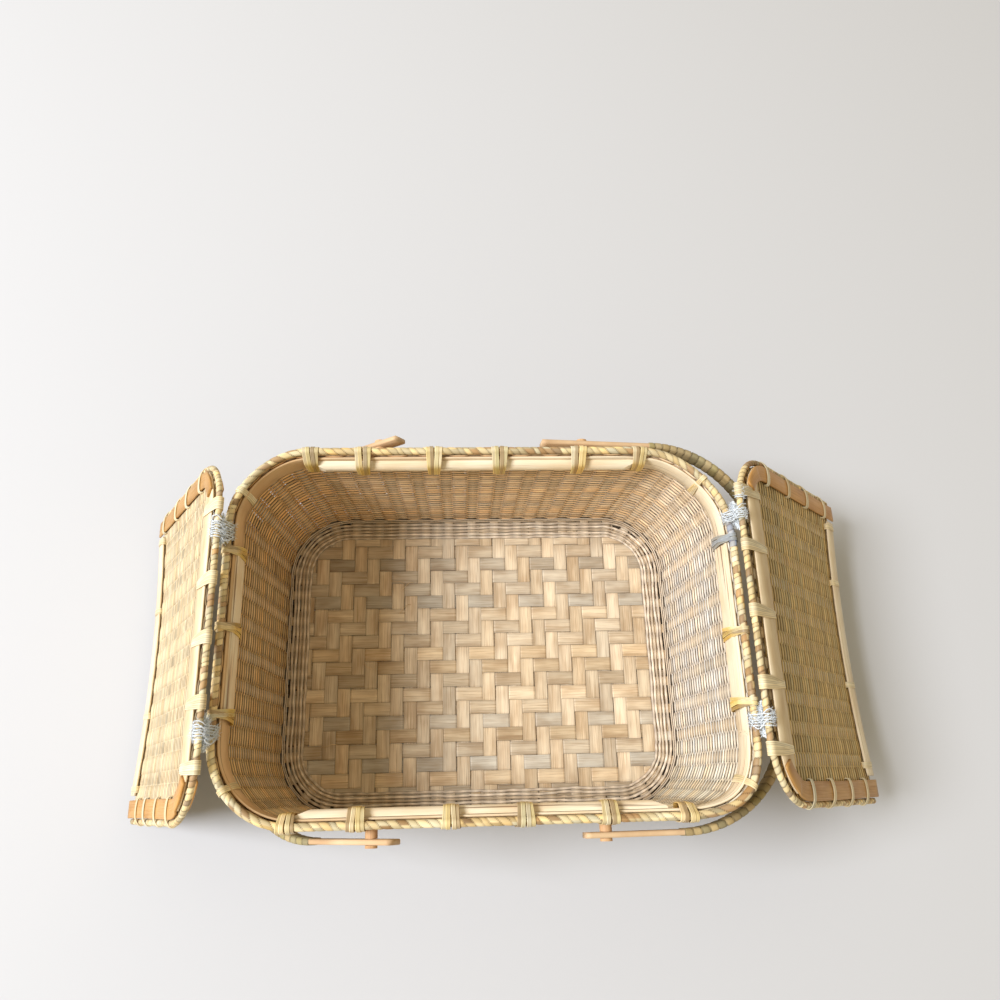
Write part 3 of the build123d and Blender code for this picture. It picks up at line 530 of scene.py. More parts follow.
def strand_tints(batch, count):
    """Tints along one strand of the weave."""
    tint = batch.shade(0.1, 0.035)
    run = 1 + 0.05 * np.sin(np.arange(count) / 17 + batch.random.uniform(0, 6))
    run = run + smooth_noise(batch.random, count, 0.055)
    return tint * run[:, None, None] * np.ones((count, 7, 1))


ROW_FOOT = 7.7
ROW_TOP = 173.5
LOW_PITCH = 6.3
HIGH_PITCH = 5.0


def wall_rows():
    """Heights and pitches of the wall's wide rows, closer together towards the rim."""
    z, rows = ROW_FOOT, []
    while z < ROW_TOP:
        pitch = LOW_PITCH + (HIGH_PITCH - LOW_PITCH) * z / ROW_TOP
        rows.append((z + pitch / 2, pitch))
        z += pitch
    return rows


# Painted light and shade on each side of the wall: axis, sign, distance where the tint begins, and tint
SIDE_LIGHT_TINTS = (
    (1, 1, 60.0, (1.13, 0.98, 0.79)),
    (1, -1, 60.0, (1.1, 1.1, 1.0)),
    (0, -1, 110.0, (0.92, 0.76, 0.5)),
    (0, 1, 110.0, (1.05, 1.13, 1.24)),
)


def wall_row(batch, z, wave_z, track, section, lift, shift, crease):
    """One row round the wall; painted light and shade tints the inside faces differently on the four sides:
    warmer on the far wall, lighter on the near wall, darker and warmer on the shaded left wall, cooler and
    lighter on the lit right wall.
    """
    q, sign = along_track(track, CELLS // 2)
    place, normal = around(q, *wall_section(z))
    tints = strand_tints(batch, len(q))
    # Painted light and shade fading in over 75 mm from each side's start
    for axis, side, start, tone in SIDE_LIGHT_TINTS:
        share = np.clip((place[:, axis] * side - start) / 75.0, 0, 1)[:, None, None]
        tints[:, (0, 4, 5, 6)] *= 1 + (np.array(tone) - 1) * share
    wave = 0.45 * np.sin(q / CELLS * 2 * pi * 3 + wave_z * 0.13)
    points = raised(place + normal * (sign * lift)[:, None], z + (shift + wave))
    batch.sweep(points, raised(normal, 0), section, closed=True, tint=tints, crease=crease)


def wall_weave():
    wide, thin, stakes = Batch(21), Batch(23), Batch(22)
    count, thin_count = len(WIDE_TRACK) * CELLS // 2, len(THIN_TRACK) * CELLS // 2
    creases = np.tile(WIDE_GAP_SHADE, CELLS // 2)[:, None] + EDGE_GAP_SHADE[None]
    for z, pitch in wall_rows():
        width = pitch - 1.45 + wide.random.normal(0, 0.2)
        shift = smooth_noise(wide.random, count, 0.16)
        narrow = 1.1 - 0.34 * np.clip(smooth_noise(wide.random, count, 0.55), 0, 1.1)
        section = flat_section(width, STRAND_THICK)[None] * np.stack([narrow, np.ones(count)], 1)[:, None, :]
        wall_row(wide, z, z, WIDE_TRACK, section, WEAVE_LIFT, shift, creases)
        wall_row(thin, z + pitch / 2, z, THIN_TRACK, flat_section(THIN_WIDTH, THIN_THICK), THIN_LIFT,
                 smooth_noise(thin.random, thin_count, 0.1), THIN_GAP_SHADE)
    wave = 0.2 * np.cos(np.arange(2 * CELLS) * pi / 2)
    for z in (6.5, 9.3):
        points, out = cell_ring(wall_section(z), z, -(1.9 + wave))
        wide.sweep(points, out, flat_section(2.9, 0.8), True, tint=wide.shade(0.03, 0.02), crease=EDGE_GAP_SHADE)
    for z in (3.2, 7.6):
        points, out = cell_ring(wall_section(z), z, 0.95)
        wide.sweep(points, out, flat_section(4.3, 0.9), True, tint=wide.shade(0.05, 0.02, 0.1))
    heights = np.array([1.2, 4.5, 9.0, 40.0, 80.0, 120.0, 150.0, 174.5])
    for cell in range(CELLS):
        sway = stakes.random.normal(0, 0.02, len(heights))
        place, normal = around(cell + 0.5 + sway, *wall_section(heights))
        on_arc = np.abs(normal).max(1).mean() < 0.999
        width = (8.4 if on_arc else 9.0) + stakes.random.normal(0, 0.2)
        widths = width * (0.9 + 0.1 * heights / BAND_TOP)
        section = np.stack([board_section(w, STAKE_THICK, 0.2) for w in widths])
        # Every second stake, seen only through the gaps, is painted almost fully dark as painted shade; the
        # others get painted shade at their edges
        stakes.sweep(raised(place, heights), raised(normal, 0), section, tint=stakes.shade(0.07, 0.03, 0.1),
                     crease=HIDDEN_STAKE_SHADE if cell % 2 else STAKE_GAP_SHADE)
    # A thin ring at the wall's foot, painted almost fully dark as painted shade seen through the gaps
    points, out = cell_ring(wall_section(5.8), 5.8)
    stakes.sweep(points, out, board_section(10.4, 0.3, 0.1), True, crease=0.9)
    wide.build("wall_strands", wall_cane, "basket", "woven_bamboo", ["wall_weave"])
    thin.build("wall_thin_strands", wall_cane, "basket", "woven_bamboo")
    stakes.build("wall_stakes", stake_cane, "basket", "woven_bamboo")


wall_weave()

# At the foot of the wall every second strip runs on over the weft rows and turns up into its stake
EDGE_ROWS = 5
EDGE_ROW_PITCH = 3.3
EDGE_TRACK = np.array([(0.1, 0.1), (0.5, 0.4), (0.9, 0.1), (1.1, -0.2), (1.5, -0.3), (1.9, -0.2)])
STRIP_RISE = ((17.5, 0.3), (13.0, 0.45), (6.0, 0.5), (3.8, 0.8), (2.6, 1.0), (1.6, 1.2))


def floor_border():
    rows, strips = Batch(12), Batch(13)
    for row in range(EDGE_ROWS):
        q, lift = along_track(EDGE_TRACK, CELLS // 2)
        inset = 1.9 + EDGE_ROW_PITCH * row
        place, normal = around(q, *(half + 1.2 - inset for half in FLOOR_HALF))
        place = place + normal * smooth_noise(rows.random, len(q), 0.3)[:, None]
        height = FLOOR_TOP + 1.2 + lift + smooth_noise(rows.random, len(q), 0.05) + (1.0 if row == 0 else 0.0)
        # Painted shade along the rows' edges and where each row passes between stakes
        marks = EDGE_GAP_SHADE[None] + np.tile([0.3, 0, 0.3, 0.3, 0, 0.3], CELLS // 2)[:, None]
        rows.sweep(raised(place, height), UPWARD, flat_section(2.45, 0.9), True,
                   tint=strand_tints(rows, len(q)), crease=marks)
    insets, lifts = np.array(STRIP_RISE).T
    levels = FLOOR_TOP + lifts
    for cell in range(0, CELLS, 2):
        place, normal = around(cell + 0.5, *(size - insets for size in wall_section(levels)))
        strips.sweep(raised(place, levels), raised(-normal, 1), board_section(8.2, 0.7, 0.2),
                     tint=strips.shade(0.07, 0.03, 0.12))
    # A wide, thin strip under the border rows, painted almost fully dark as painted shade seen through the
    # gaps between them
    points, _ = cell_ring([half + 1.2 - 7.5 for half in FLOOR_HALF], 1.6)
    strips.sweep(points, UPWARD, board_section(17.0, 0.5, 0.1), True, crease=0.9)
    rows.build("floor_edge_weft", wall_cane, "basket", "woven_bamboo", ["floor_edge_rows"])
    strips.build("floor_edge_strips", stake_cane, "basket", "woven_bamboo")


floor_border()

# Bands, rails and slats under the rim coil; the bands' left end is painted darker brown, as painted shade
LEFT_END_SHADE = (0.8, 0.64, 0.48)
RAIL_LOOK = ((249, 235, 204), (224, 184, 134), (255, 246, 224))


def rim_bands():
    for name, node, low, offset, seed in (
        ("rim_band_inside", "rim_inner_band", 155.0, -3.0, 31),
        ("rim_band_outside", "rim_outer_band", 161.0, 3.0, 32),
    ):
        batch = Batch(seed)
        middle = (low + BAND_TOP) / 2
        points, ups = ring_path([size + offset for size in wall_section(middle)], middle, 5.0)
        sides = unit(raised(ups[:, :2] * (np.array([15.3, 1.4]) / 165.0), 1))
        wave = np.sin(np.arange(len(points)) * 0.21) * 0.35
        section = np.repeat(board_section(BAND_TOP - low - 0.8, 1.7, 0.5)[None], len(points), 0)
        section[:, :, 0] += np.where(section[:, :, 0] < 0, wave[:, None], 0)
        # Painted shade: the bands darken towards the left end, fading out towards the right
        share = np.clip((points[:, 0] + 170) / 260, 0, 1)[:, None, None]
        blotch = 1 + smooth_noise(batch.random, len(points), 0.07, 9)[:, None, None]
        tints = (np.array(LEFT_END_SHADE) * (1 - share) + share) * blotch * np.ones((1, 10, 1))
        batch.tube(points, sides, ups, section, closed=True, tint=tints)
        batch.build(name, band_cane, "basket", "split_bamboo", [node])


def paint(node, look):
    """Gives a CAD shape that stays in view its material."""
    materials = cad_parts[node].data.materials
    materials.clear()
    materials.append(look)


rim_bands()
for node, axis in (("rail_far", 0), ("rail_near", 0), ("end_slat_left", 1), ("end_slat_right", 1)):
    # The long rails are painted tan on their lower part, as painted shade
    painted_shade_below = None if axis else 0.161
    paint(node, cane(node, *RAIL_LOOK, 0.4, 0.45, 0.45, coords=axis, cracks=0.75, painted_shade_below=painted_shade_below))

# Wound coils; a stretch of the rim's right end is wound with grey tape
GREY = (0.47, 0.6, 1.15)
GREY_TAPE = (58.0, 84.0)
BROWN = (0.62, 0.5, 0.45)
COIL_STEP = 0.56
COIL_SIDES = 16


def wound_coil(batch, points, normals, ups, radius, turns_mm, closed, groove, greyed=None, tight=None):
    """A rod wound with flat cane: each turn is a raised, slanting band, with a sunk groove between turns that
    is painted dark as painted shade.
    """
    steps = np.diff(np.concatenate([points, points[:1]]) if closed else points, axis=0)
    steps = np.linalg.norm(steps, axis=1)
    travel = np.concatenate([[0], np.cumsum(steps)])[:len(points)]
    length = steps.sum()
    rng = batch.random
    marks = [0.0]
    while marks[-1] < length:
        here = min(int(marks[-1] / length * len(points)), len(points) - 1)
        closer = 0.74 if tight is not None and tight[here] else 1.0
        marks.append(marks[-1] + rng.uniform(*turns_mm) * rng.choice((1.0, 1.0, 1.0, 0.62)) * closer)
    marks = np.array(marks) * length / marks[-1]
    count = len(marks)
    angles = np.arange(COIL_SIDES) * 2 * pi / COIL_SIDES
    starts = 1 if tight is None else np.where(tight, 1, 2)[:, None]
    turn = np.interp(travel, marks, np.arange(count))[:, None] + angles[None] / (2 * pi) * starts
    inside = turn - np.floor(turn)
    edge = np.minimum(inside, 1 - inside) * sum(turns_mm) / 2
    dip = np.clip(1 - edge / 0.8, 0, 1)
    index = np.floor(turn).astype(int) % (count - 1 if closed else count + 2)
    light = 1 + rng.normal(-0.03, 0.15, count + 3)[index]
    hue = rng.normal(0, 0.045, count + 3)[index]
    tint = np.stack([light * (1 + hue), light, light * (1 - 2 * hue)], -1)
    browned = (rng.uniform(size=count + 3) < 0.19)[index]
    tint = np.where(browned[..., None], tint * BROWN, tint)
    if greyed is not None:
        tint = np.where(greyed[:, None, None], tint * GREY, tint)
    reach = radius - groove * dip ** 0.8 + 0.12 * np.sin(inside * pi)
    section = np.stack([np.cos(angles)[None] * reach, -np.sin(angles)[None] * reach], -1)
    # The groove between turns is sunk and also painted dark, as painted shade
    batch.tube(points, ups, normals, section, closed, tint=tint, crease=dip ** 1.3 * 0.92)


def rim_coil():
    batch = Batch(41)
    points, normals = ring_path(RIM_COIL, RIM_COIL_Z, COIL_STEP)
    ups = np.tile([0.0, 0.0, 1.0], (len(points), 1))
    taped = (points[:, 0] > 190) & (points[:, 1] > GREY_TAPE[0]) & (points[:, 1] < GREY_TAPE[1])
    wound_coil(batch, points, normals, ups, RIM_COIL_RADIUS - 0.15, (6.0, 8.6), True, 0.38, taped,
               np.abs(points[:, 0]) > 190)
    batch.build("rim_coil_wound", coil_cane, "basket", "cane_wrapped_coil", ["rim_coil"])


rim_coil()

# Cane straps: the lashings of the rim and the ties of the lids
YELLOW_END = (1.04, 0.9, 0.5)


def straps(batch, origin, axis_a, axis_b, outline, lays, width, thick, shades=((1.0, 1.0, 1.0),), fan=0.0,
           yellow=False, bow=0.0):
    """Flat canes over an outline in a plane; each lay runs sideways from one place to another."""
    axis_a, axis_b = unit(axis_a), unit(axis_b)
    sideways = np.cross(axis_a, axis_b)
    path = resample(chaikin(outline, 3), step=0.9)
    tangent = unit(np.gradient(path, axis=0))
    out = np.stack([-tangent[:, 1], tangent[:, 0]], 1)
    if ((path - path.mean(0)) * out).sum() < 0:
        out = -out
    share = np.linspace(0, 1, len(path))
    for k, (start, end) in enumerate(lays):
        across = start + (end - start) * share + fan * np.sin(share * pi) * (1 if k % 2 else -1)
        across += bow * np.sin(share * 2 * pi)
        across += 0.2 * np.sin(share * 8 + batch.random.uniform(0, 6))
        flat = path + out * (0.4 * (k // 2))
        points = origin + flat[:, :1] * axis_a + flat[:, 1:] * axis_b + across[:, None] * sideways
        hint = out[:, :1] * axis_a + out[:, 1:] * axis_b
        tint = batch.shade(0.07, 0.03) * np.array(shades[k % len(shades)])
        tint = tint * np.ones((len(path), len(RIB_GROOVE_SHADE), 1))
        if yellow:
            ripe = np.clip((0.4 - share) / 0.12, 0, 1)[:, None, None]
            tint = tint * (ripe * np.array(YELLOW_END) + (1 - ripe))
        batch.sweep(points, hint, ribbed_section(width * batch.random.uniform(0.92, 1.06), thick),
                    tint=tint, crease=RIB_GROOVE_SHADE)


LASHINGS = {
    "lashings_far": ((0, 1), (-140.0, -97.0, -39.0, 14.0, 80.0, 131.0)),
    "lashings_near": ((0, -1), (-144.0, -95.0, -28.0, 25.0, 86.0, 143.0)),
    "lashings_left": ((-1, 0), (61.0, 0.5, -64.0)),
    "lashings_right": ((1, 0), (66.0, -9.1, -63.0)),
}
CANE_SHADES = ((1.0, 1.0, 1.05), (1.08, 1.12, 1.4), (0.62, 0.56, 0.6), (1.02, 1.0, 0.95))
CORNER_LASHINGS = ((1, 1, 40.6), (1, -1, 36.8), (-1, 1, 27.1), (-1, -1, 35.7))


def over_coil(half, foot, inner_low, inner_high, outer_foot):
    """The way of a strap from under the inner band, over the rim coil, to under the outer band."""
    return [(foot, 153.4), (inner_low + 0.5, 154.6), (inner_low, 158), (inner_high, 170.5),
            (inner_high + 2.0, 174.2), (half - 3.3, 179.0), (half - 1.5, 181.5), (half + 1.5, 181.5),
            (half + 3.4, 179.2), (half + 4.1, 174.5), (outer_foot + 0.9, 164.0), (outer_foot + 0.4, 161.0),
            (outer_foot - 1.2, 159.5), (outer_foot - 3.6, 159.0)]


def rim_lashings():
    for seed, (node, (out, places)) in enumerate(LASHINGS.items()):
        batch = Batch(51 + seed)
        long_side = out[0] == 0
        for place in places:
            lean = batch.random.uniform(-1.0, 1.0)
            if long_side:
                inner = 133.2 if place > 130 or place < -126 else 130.2
                outline = over_coil(RIM_COIL[1], 137.0, inner, inner, 144.9)
                lays = ((-3.0 + lean, -6.4), (2.9 + lean, 6.2), (-1.0 + lean, -3.2), (1.2 + lean, 2.4))
            else:
                outline = over_coil(RIM_COIL[0], 193.6, 189.8, 191.0, 201.3)
                lays = ((-4.8, 1.6 + lean), (4.6, -1.6 + lean), (-1.7, 4.2), (1.5, -4.2 + lean))
            grey = out[0] > 0 and place > GREY_TAPE[0]
            shades = (GREY,) if grey else [CANE_SHADES[k] for k in batch.random.permutation(4)]
            origin = np.array([place * abs(out[1]), place * abs(out[0]), 0.0])
            straps(batch, origin, (*out, 0), UPWARD, outline, lays, 3.3 if long_side else 2.7, 0.6, shades,
                   yellow=not grey)
        batch.build(node + "_cane", tie_cane, "basket", "cane_lashing", [node])
    batch = Batch(57)
    for x_sign, y_sign, angle in CORNER_LASHINGS:
        way = (x_sign * cos(radians(angle)), y_sign * sin(radians(angle)), 0)
        origin = np.array([x_sign * (RIM_COIL[0] - RIM_COIL[2]), y_sign * (RIM_COIL[1] - RIM_COIL[2]), 0.0])
        outline = over_coil(RIM_COIL[2], 54.8, 52.6, 53.4, 62.4)
        straps(batch, origin, way, UPWARD, outline, ((-1.4, 1.6), (1.6, -1.0)), 4.0, 0.85, CANE_SHADES)
    batch.build("lashings_corners_cane", tie_cane, "basket", "cane_lashing", ["lashings_corners"])


rim_lashings()

# Twine ties between the rim coil and the lids' coils: wound turns, loose crossing turns and fuzz
TWINE_RADIUS = 0.55
LOOP_POINTS = 56
HINGE_TIES = {
    "hinge_tie_left_far": ("left", 74.0, 7, 0.3),
    "hinge_tie_left_near": ("left", -77.0, 5, 0.3),
    "hinge_tie_right_far": ("right", 84.0, 5, 0.9),
    "hinge_tie_right_near": ("right", -77.0, 5, 0.3),
}
STRAY_WRAPS = {"hinge_tie_right_far": (95.0, 107.0, 6)}


def circling(a, b, angles):
    """Ways that turn from a towards b, one for each angle."""
    return a * np.cos(angles)[:, None] + b * np.sin(angles)[:, None]


def twisted(batch, path, hints, fuzz):
    """Three plies twisted together along a path, with short hairs standing off them."""
    rng = batch.random
    tangent = unit(np.gradient(path, axis=0))
    side_way = unit(np.cross(tangent, hints))
    up_way = np.cross(side_way, tangent)
    for ply in range(3):
        turn = travelled(path) / 3.2 * 2 * pi + ply * 2 * pi / 3
        batch.sweep(path + circling(side_way, up_way, turn) * 0.24, hints, round_section(0.3, 6))
    for _ in range(fuzz):
        k = rng.integers(4, len(path) - 4)
        way = up_way[k] * rng.uniform(0.4, 1) + side_way[k] * rng.normal(0, 0.8)
        way = unit(way + tangent[k] * rng.normal(0, 0.6))
        start = path[k] + way * 0.6
        bend = unit(rng.normal(0, 1, 3)) * 0.6
        reach = rng.uniform(1.0, 3.2)
        hair = [start, start + way * reach * 0.5 + bend * 0.3, start + way * reach + bend]
        batch.sweep(hair, up_way[k] + 0.01, round_section(0.11, 3))


def loosened(batch, count, spread):
    """Wandering offsets along a twine."""
    return np.convolve(batch.random.normal(0, spread, count), np.ones(9) / 4, "same")


def twine_ties():
    for seed, (node, (side, middle, turns, slack)) in enumerate(HINGE_TIES.items()):
        batch = Batch(61 + seed)
        rng = batch.random
        sign = SIDES[side]
        rim = np.array([sign * RIM_COIL[0], 0, RIM_COIL_Z])
        lid = np.array([sign * HINGE_X, 0, HINGE_Z])
        outward = unit(lid - rim)
        rim = rim + outward * slack
        across = np.array([outward[2], 0, -outward[0]])
        centre = (rim + lid) / 2
        half_turn = np.linspace(0, pi, 13)

        def loops(radius, start, end, count, waist):
            """Turns round the rim coil and the lid coil, drawn in at the waist."""
            ends = [lid + circling(across, outward, half_turn) * radius,
                    rim + circling(across, outward, half_turn + pi) * radius]
            loop = resample(np.concatenate(ends), count=LOOP_POINTS, closed=True)
            path = np.tile(loop, (count, 1))
            places = np.arange(len(path)) / LOOP_POINTS
            path[:, 1] = start + (end - start) * places / count
            hints = unit(path - centre * (1, 0, 1) - (0, 1, 0) * path[:, 1:2])
            path[:, 1] += waist * np.sin(places * 4 * pi)
            return path, hints

        radius = RIM_COIL_RADIUS + slack + TWINE_RADIUS
        half = turns * 2.0 / 2
        for grow, start, end, count, waist, wander, fuzz in (
            (0.0, -half, half, turns, 0.0, 0.2, 260),
            (0.5, half, -half, 3, 3.2, 0.7, 200),
        ):
            path, hints = loops(radius + grow, middle + start, middle + end, count, waist)
            path[:, 1] += loosened(batch, len(path), wander)
            twisted(batch, path, hints, fuzz)
        for _ in range(9):
            run = np.linspace(-12.0, 12.0, 60) + rng.uniform(-2.0, 2.0)
            angle = rng.uniform(0, 2 * pi) + np.cumsum(rng.normal(0, 0.28, 60))
            spread = rng.uniform(0.8, 2.6) * np.clip(1.25 - np.abs(run) / 15, 0.3, 1)
            shift = 1.5 + np.convolve(rng.normal(0, 0.9, 60), np.ones(7) / 4, "same")
            hints = circling(across, outward, angle)
            path = centre + outward * shift[:, None] + hints * spread[:, None] + across * 0.8
            path[:, 1] = middle + run
            twisted(batch, path, hints, 60)
        batch.build(node + "_twine", twine_material, "basket", "twine", [node])
        if node in STRAY_WRAPS:
            start, end, count = STRAY_WRAPS[node]
            batch = Batch(66)
            turn = np.linspace(0, 2 * pi * count, 28 * count)
            hints = circling(across, outward, turn)
            path = lid + hints * (LID_COIL_RADIUS + 0.95)
            path[:, 1] = np.interp(turn, (0, turn[-1]), (start, end)) + 0.5 * np.sin(turn * 0.37)
            inset = np.maximum(0, path[:, 1] - 88.0)
            path += inset[:, None] ** 2 / 100.0 * LIDS[side].s
            twisted(batch, path, hints, 60)
            batch.build(node + "_stray_wraps", twine_material, f"lid_{side}", "twine")


class Lid:
    """A lid's own frame at rest: s away from the hinge, t along it, h out of the inner face."""

    def __init__(self, side):
        sign, drop = SIDES[side], radians(LID_DROP[side])
        self.side, self.sign, self.body = side, sign, f"lid_{side}"
        self.origin = np.array([sign * HINGE_X, 0, HINGE_Z])
        self.s = np.array([sign * cos(drop), 0, -sin(drop)])
        self.h = np.array([sign * sin(drop), 0, cos(drop)])
        self.t = np.cross(self.h, self.s)

    def place(self, points):
        points = np.asarray(points, float)
        return self.origin + points[..., :1] * self.s + points[..., 1:2] * self.t + points[..., 2:3] * self.h

    def build(self, batch, part, ending, material, slot):
        """The piece that stands in for one part of the lid."""
        node = f"{self.body}_{part}"
        batch.build(node + ending, material, self.body, slot, [node])


def lid_height(s, t):
    """The crowned lid panel's middle: flat near the hinge and under the side strips."""
    rise = np.clip((s - 52.5) / (LID_LENGTH - 52.5), 0, 1)
    return -CROWN * rise * np.clip(1 - (t / CROWN_HALF) ** 2, 0, 1)


LIDS = {side: Lid(side) for side in SIDES}
LID_CELLS = 23
LID_CELL = 11.65
LID_ROW_PITCH = 5.0
PANEL_START = 8.5
PANEL_CORNER = 42.0
# Painted light and shade: the right lid, facing away from the light, is tinted darker and warmer; the lit
# left lid cooler
LID_LIGHT_TINTS = {"right": (0.83, 0.77, 0.6), "left": (0.98, 1.02, 1.16)}


def corner_reach(past):
    """The rounded corner's reach one way, at a distance past its start the other way."""
    return np.sqrt(np.maximum(PANEL_CORNER ** 2 - np.clip(past, 0, PANEL_CORNER) ** 2, 0))


def lid_half(s):
    """Half width of the panel at a distance from the hinge."""
    return PANEL_HALF - PANEL_CORNER + corner_reach(PANEL_START + PANEL_CORNER - s)


def lid_row(batch, lid, s, track, section, lift, wave, crease=None):
    """One row of the lid's weave at a distance from the hinge; thin rows carry the same painted shade along
    their edges all the way, wide rows painted shade that changes at each stake.
    """
    q, sign = along_track(track, (LID_CELLS + 1) // 2)
    t = (q - LID_CELLS / 2) * LID_CELL
    half = lid_half(s) - 0.5
    keep = np.abs(t) < half - 0.4
    run = np.concatenate([[-half], t[keep], [half]])
    high = np.interp(run, t, -sign * lift) + lid_height(s, run)
    # Painted shade along the strand edges, and for wide rows at each stake as well
    marks = np.zeros((len(run), 7)) + (THIN_GAP_SHADE * 0.55 if crease is None else EDGE_GAP_SHADE * 1.2)
    if crease is not None:
        marks[1:-1] += crease[keep][:, None]
    bow = 0.9 * np.sin((run + 40) / 46) * np.sin(s / 60)
    place = s + bow + wave * smooth_noise(batch.random, len(run), 1.0)
    points = lid.place(np.stack([place, run, high], 1))
    tints = strand_tints(batch, len(run)) * LID_LIGHT_TINTS[lid.side]
    batch.sweep(points, lid.h, section, tint=tints, crease=marks)


def lid_panel(lid):
    wide, thin, stakes = (Batch(seed + lid.sign) for seed in (71, 73, 75))
    creases = np.tile(WIDE_GAP_SHADE, (LID_CELLS + 1) // 2) * 0.5
    for s in np.arange(PANEL_START + 3.2, LID_LENGTH - 2.4, LID_ROW_PITCH):
        section = flat_section(LID_ROW_PITCH - 1.25 + wide.random.normal(0, 0.18), STRAND_THICK)
        lid_row(wide, lid, s, WIDE_TRACK, section, WEAVE_LIFT, 0.1, creases)
        if s + LID_ROW_PITCH / 2 < LID_LENGTH - 1.5:
            lid_row(thin, lid, s + LID_ROW_PITCH / 2, THIN_TRACK, flat_section(THIN_WIDTH * 1.05, THIN_THICK),
                    THIN_LIFT, 0.05)
    for cell in range(LID_CELLS):
        t = (cell + 0.5 - LID_CELLS / 2) * LID_CELL + stakes.random.normal(0, 0.15)
        starts = np.linspace(PANEL_START + 0.5, LID_LENGTH - 0.5, 40)
        fits = starts[lid_half(starts) > abs(t) + 4.6]
        if len(fits) < 2:
            continue
        points = lid.place(np.stack([fits, fits * 0 + t, lid_height(fits, t)], 1))
        # Every second stake, seen only through the gaps, is painted almost fully dark as painted shade; the
        # others get lighter painted shade at their edges
        stakes.sweep(points, lid.h, board_section(8.6, STAKE_THICK, 0.2), tint=stakes.shade(0.06, 0.03, 0.06),
                     crease=HIDDEN_STAKE_SHADE * 0.9 if cell % 2 else STAKE_GAP_SHADE * 0.4)
    node = lid.body + "_panel"
    wide.build(node + "_strands", lid_cane, lid.body, "woven_bamboo", [node])
    thin.build(node + "_thin_strands", lid_cane, lid.body, "woven_bamboo")
    stakes.build(node + "_stakes", stake_cane, lid.body, "woven_bamboo")


def lid_coil(lid):
    batch = Batch(81 + lid.sign)
    corners = [(LID_LENGTH, 138), (0, 138), (0, -138), (LID_LENGTH, -138)]
    points = lid.place(raised(resample(filleted(corners, 50.0, 40), step=COIL_STEP), 0))
    ups = np.tile(lid.h, (len(points), 1))
    across = np.cross(unit(np.gradient(points, axis=0)), ups)
    wound_coil(batch, points, across, ups, LID_COIL_RADIUS - 0.1, (4.2, 6.6), False, 0.35)
    lid.build(batch, "coil", "_wound", coil_cane, "cane_wrapped_coil")


def lid_trim(lid):
    for face, sign in (("inner", 1), ("outer", -1)):
        band = Batch(91 + sign)
        t = np.linspace(-PANEL_HALF + 3, PANEL_HALF - 3, 91)
        inside = PANEL_START + PANEL_CORNER - corner_reach(np.abs(t) - (PANEL_HALF - PANEL_CORNER))
        low = np.maximum(inside, 9.5) + 0.4
        high = np.maximum(31.0 + 0.4 * np.sin(t / 23), low + 0.6)
        keep = low < 30.2
        t, low, high = t[keep], low[keep], high[keep]
        points = lid.place(np.stack([(low + high) / 2, t, np.full_like(t, sign * 2.75)], 1))
        section = np.stack([board_section(width, 1.4, 0.3) for width in high - low])
        tints = np.ones((len(t), 10, 3))
        lit_edge = (0, 1, 9) if sign > 0 else (3, 4, 5)
        tints[:, lit_edge] = (1.25, 1.32, 1.5)
        sides, ups = (np.tile(way * sign, (len(t), 1)) for way in (lid.s, lid.h))
        band.tube(points, sides, ups, section, tint=tints)
        lid.build(band, f"hinge_band_{face}", "_cane", tan_cane, "tan_band")

        strips = Batch(95 + sign)
        for way in (1, -1):
            turn = np.radians(np.linspace(60, 3, 18))
            middle = PANEL_HALF - 7.5
            s = np.concatenate([50 - (middle - 88) * np.sin(turn), np.linspace(50.0, 203.0, 38)])
            t = np.concatenate([88 + (middle - 88) * np.cos(turn), np.full(38, middle)])
            t = t + 0.3 * np.sin(s / 37 + way)
            rest = 3.05 + 0.1 * np.sin(s / 9.0) + 1.35 * np.clip((36 - s) / 4, 0, 1)
            section = [board_section(width, 1.9, 0.5) for width in np.interp(s, (15, 50), (10.5, 14.6))]
            strips.sweep(lid.place(np.stack([s, way * t, sign * rest], 1)), lid.h * sign, np.stack(section),
                         tint=strips.shade(0.06, 0.03))
        lid.build(strips, f"side_strips_{face}", "_cane", brown_cane, "brown_strip")

        slat = Batch(99 + sign)
        t = np.linspace(-117, 117, 60)
        s = np.full_like(t, LID_LENGTH - 7.0) + 0.15 * np.sin(t / 19)
        gap = 2.6 if sign > 0 else 2.05
        points = lid.place(np.stack([s, t, lid_height(LID_LENGTH, t) + sign * (gap + 1.0)], 1))
        slat.sweep(points, lid.h * sign, board_section(13.5, 1.9, 0.5), tint=slat.shade(0.04, 0.02))
        lid.build(slat, f"edge_slat_{face}", "_cane", band_cane, "split_bamboo")


LID_LASHINGS = {"right": (103.0, 56.5, 4.3, -49.8, -98.0), "left": (-94.0, -35.5, 9.0, 56.0, 101.0)}
PLUS_TIES = {"right": (52.0, 95.0, 135.0, 178.0), "left": (55.0, 95.0, 135.0, 165.0)}
MINUS_TIES = {"right": (55.0, 95.0, 135.0, 172.0), "left": (52.0, 95.0, 135.0, 182.0)}
EDGE_TIES = {"right": (112.0, 57.0, -38.0, -108.0), "left": (-112.0, -45.0, 50.0, 112.0)}


def mirrored(half_outline):
    """A closed wrap from the half of it above a plane."""
    return list(half_outline) + [(a, -b) for a, b in half_outline[::-1]]


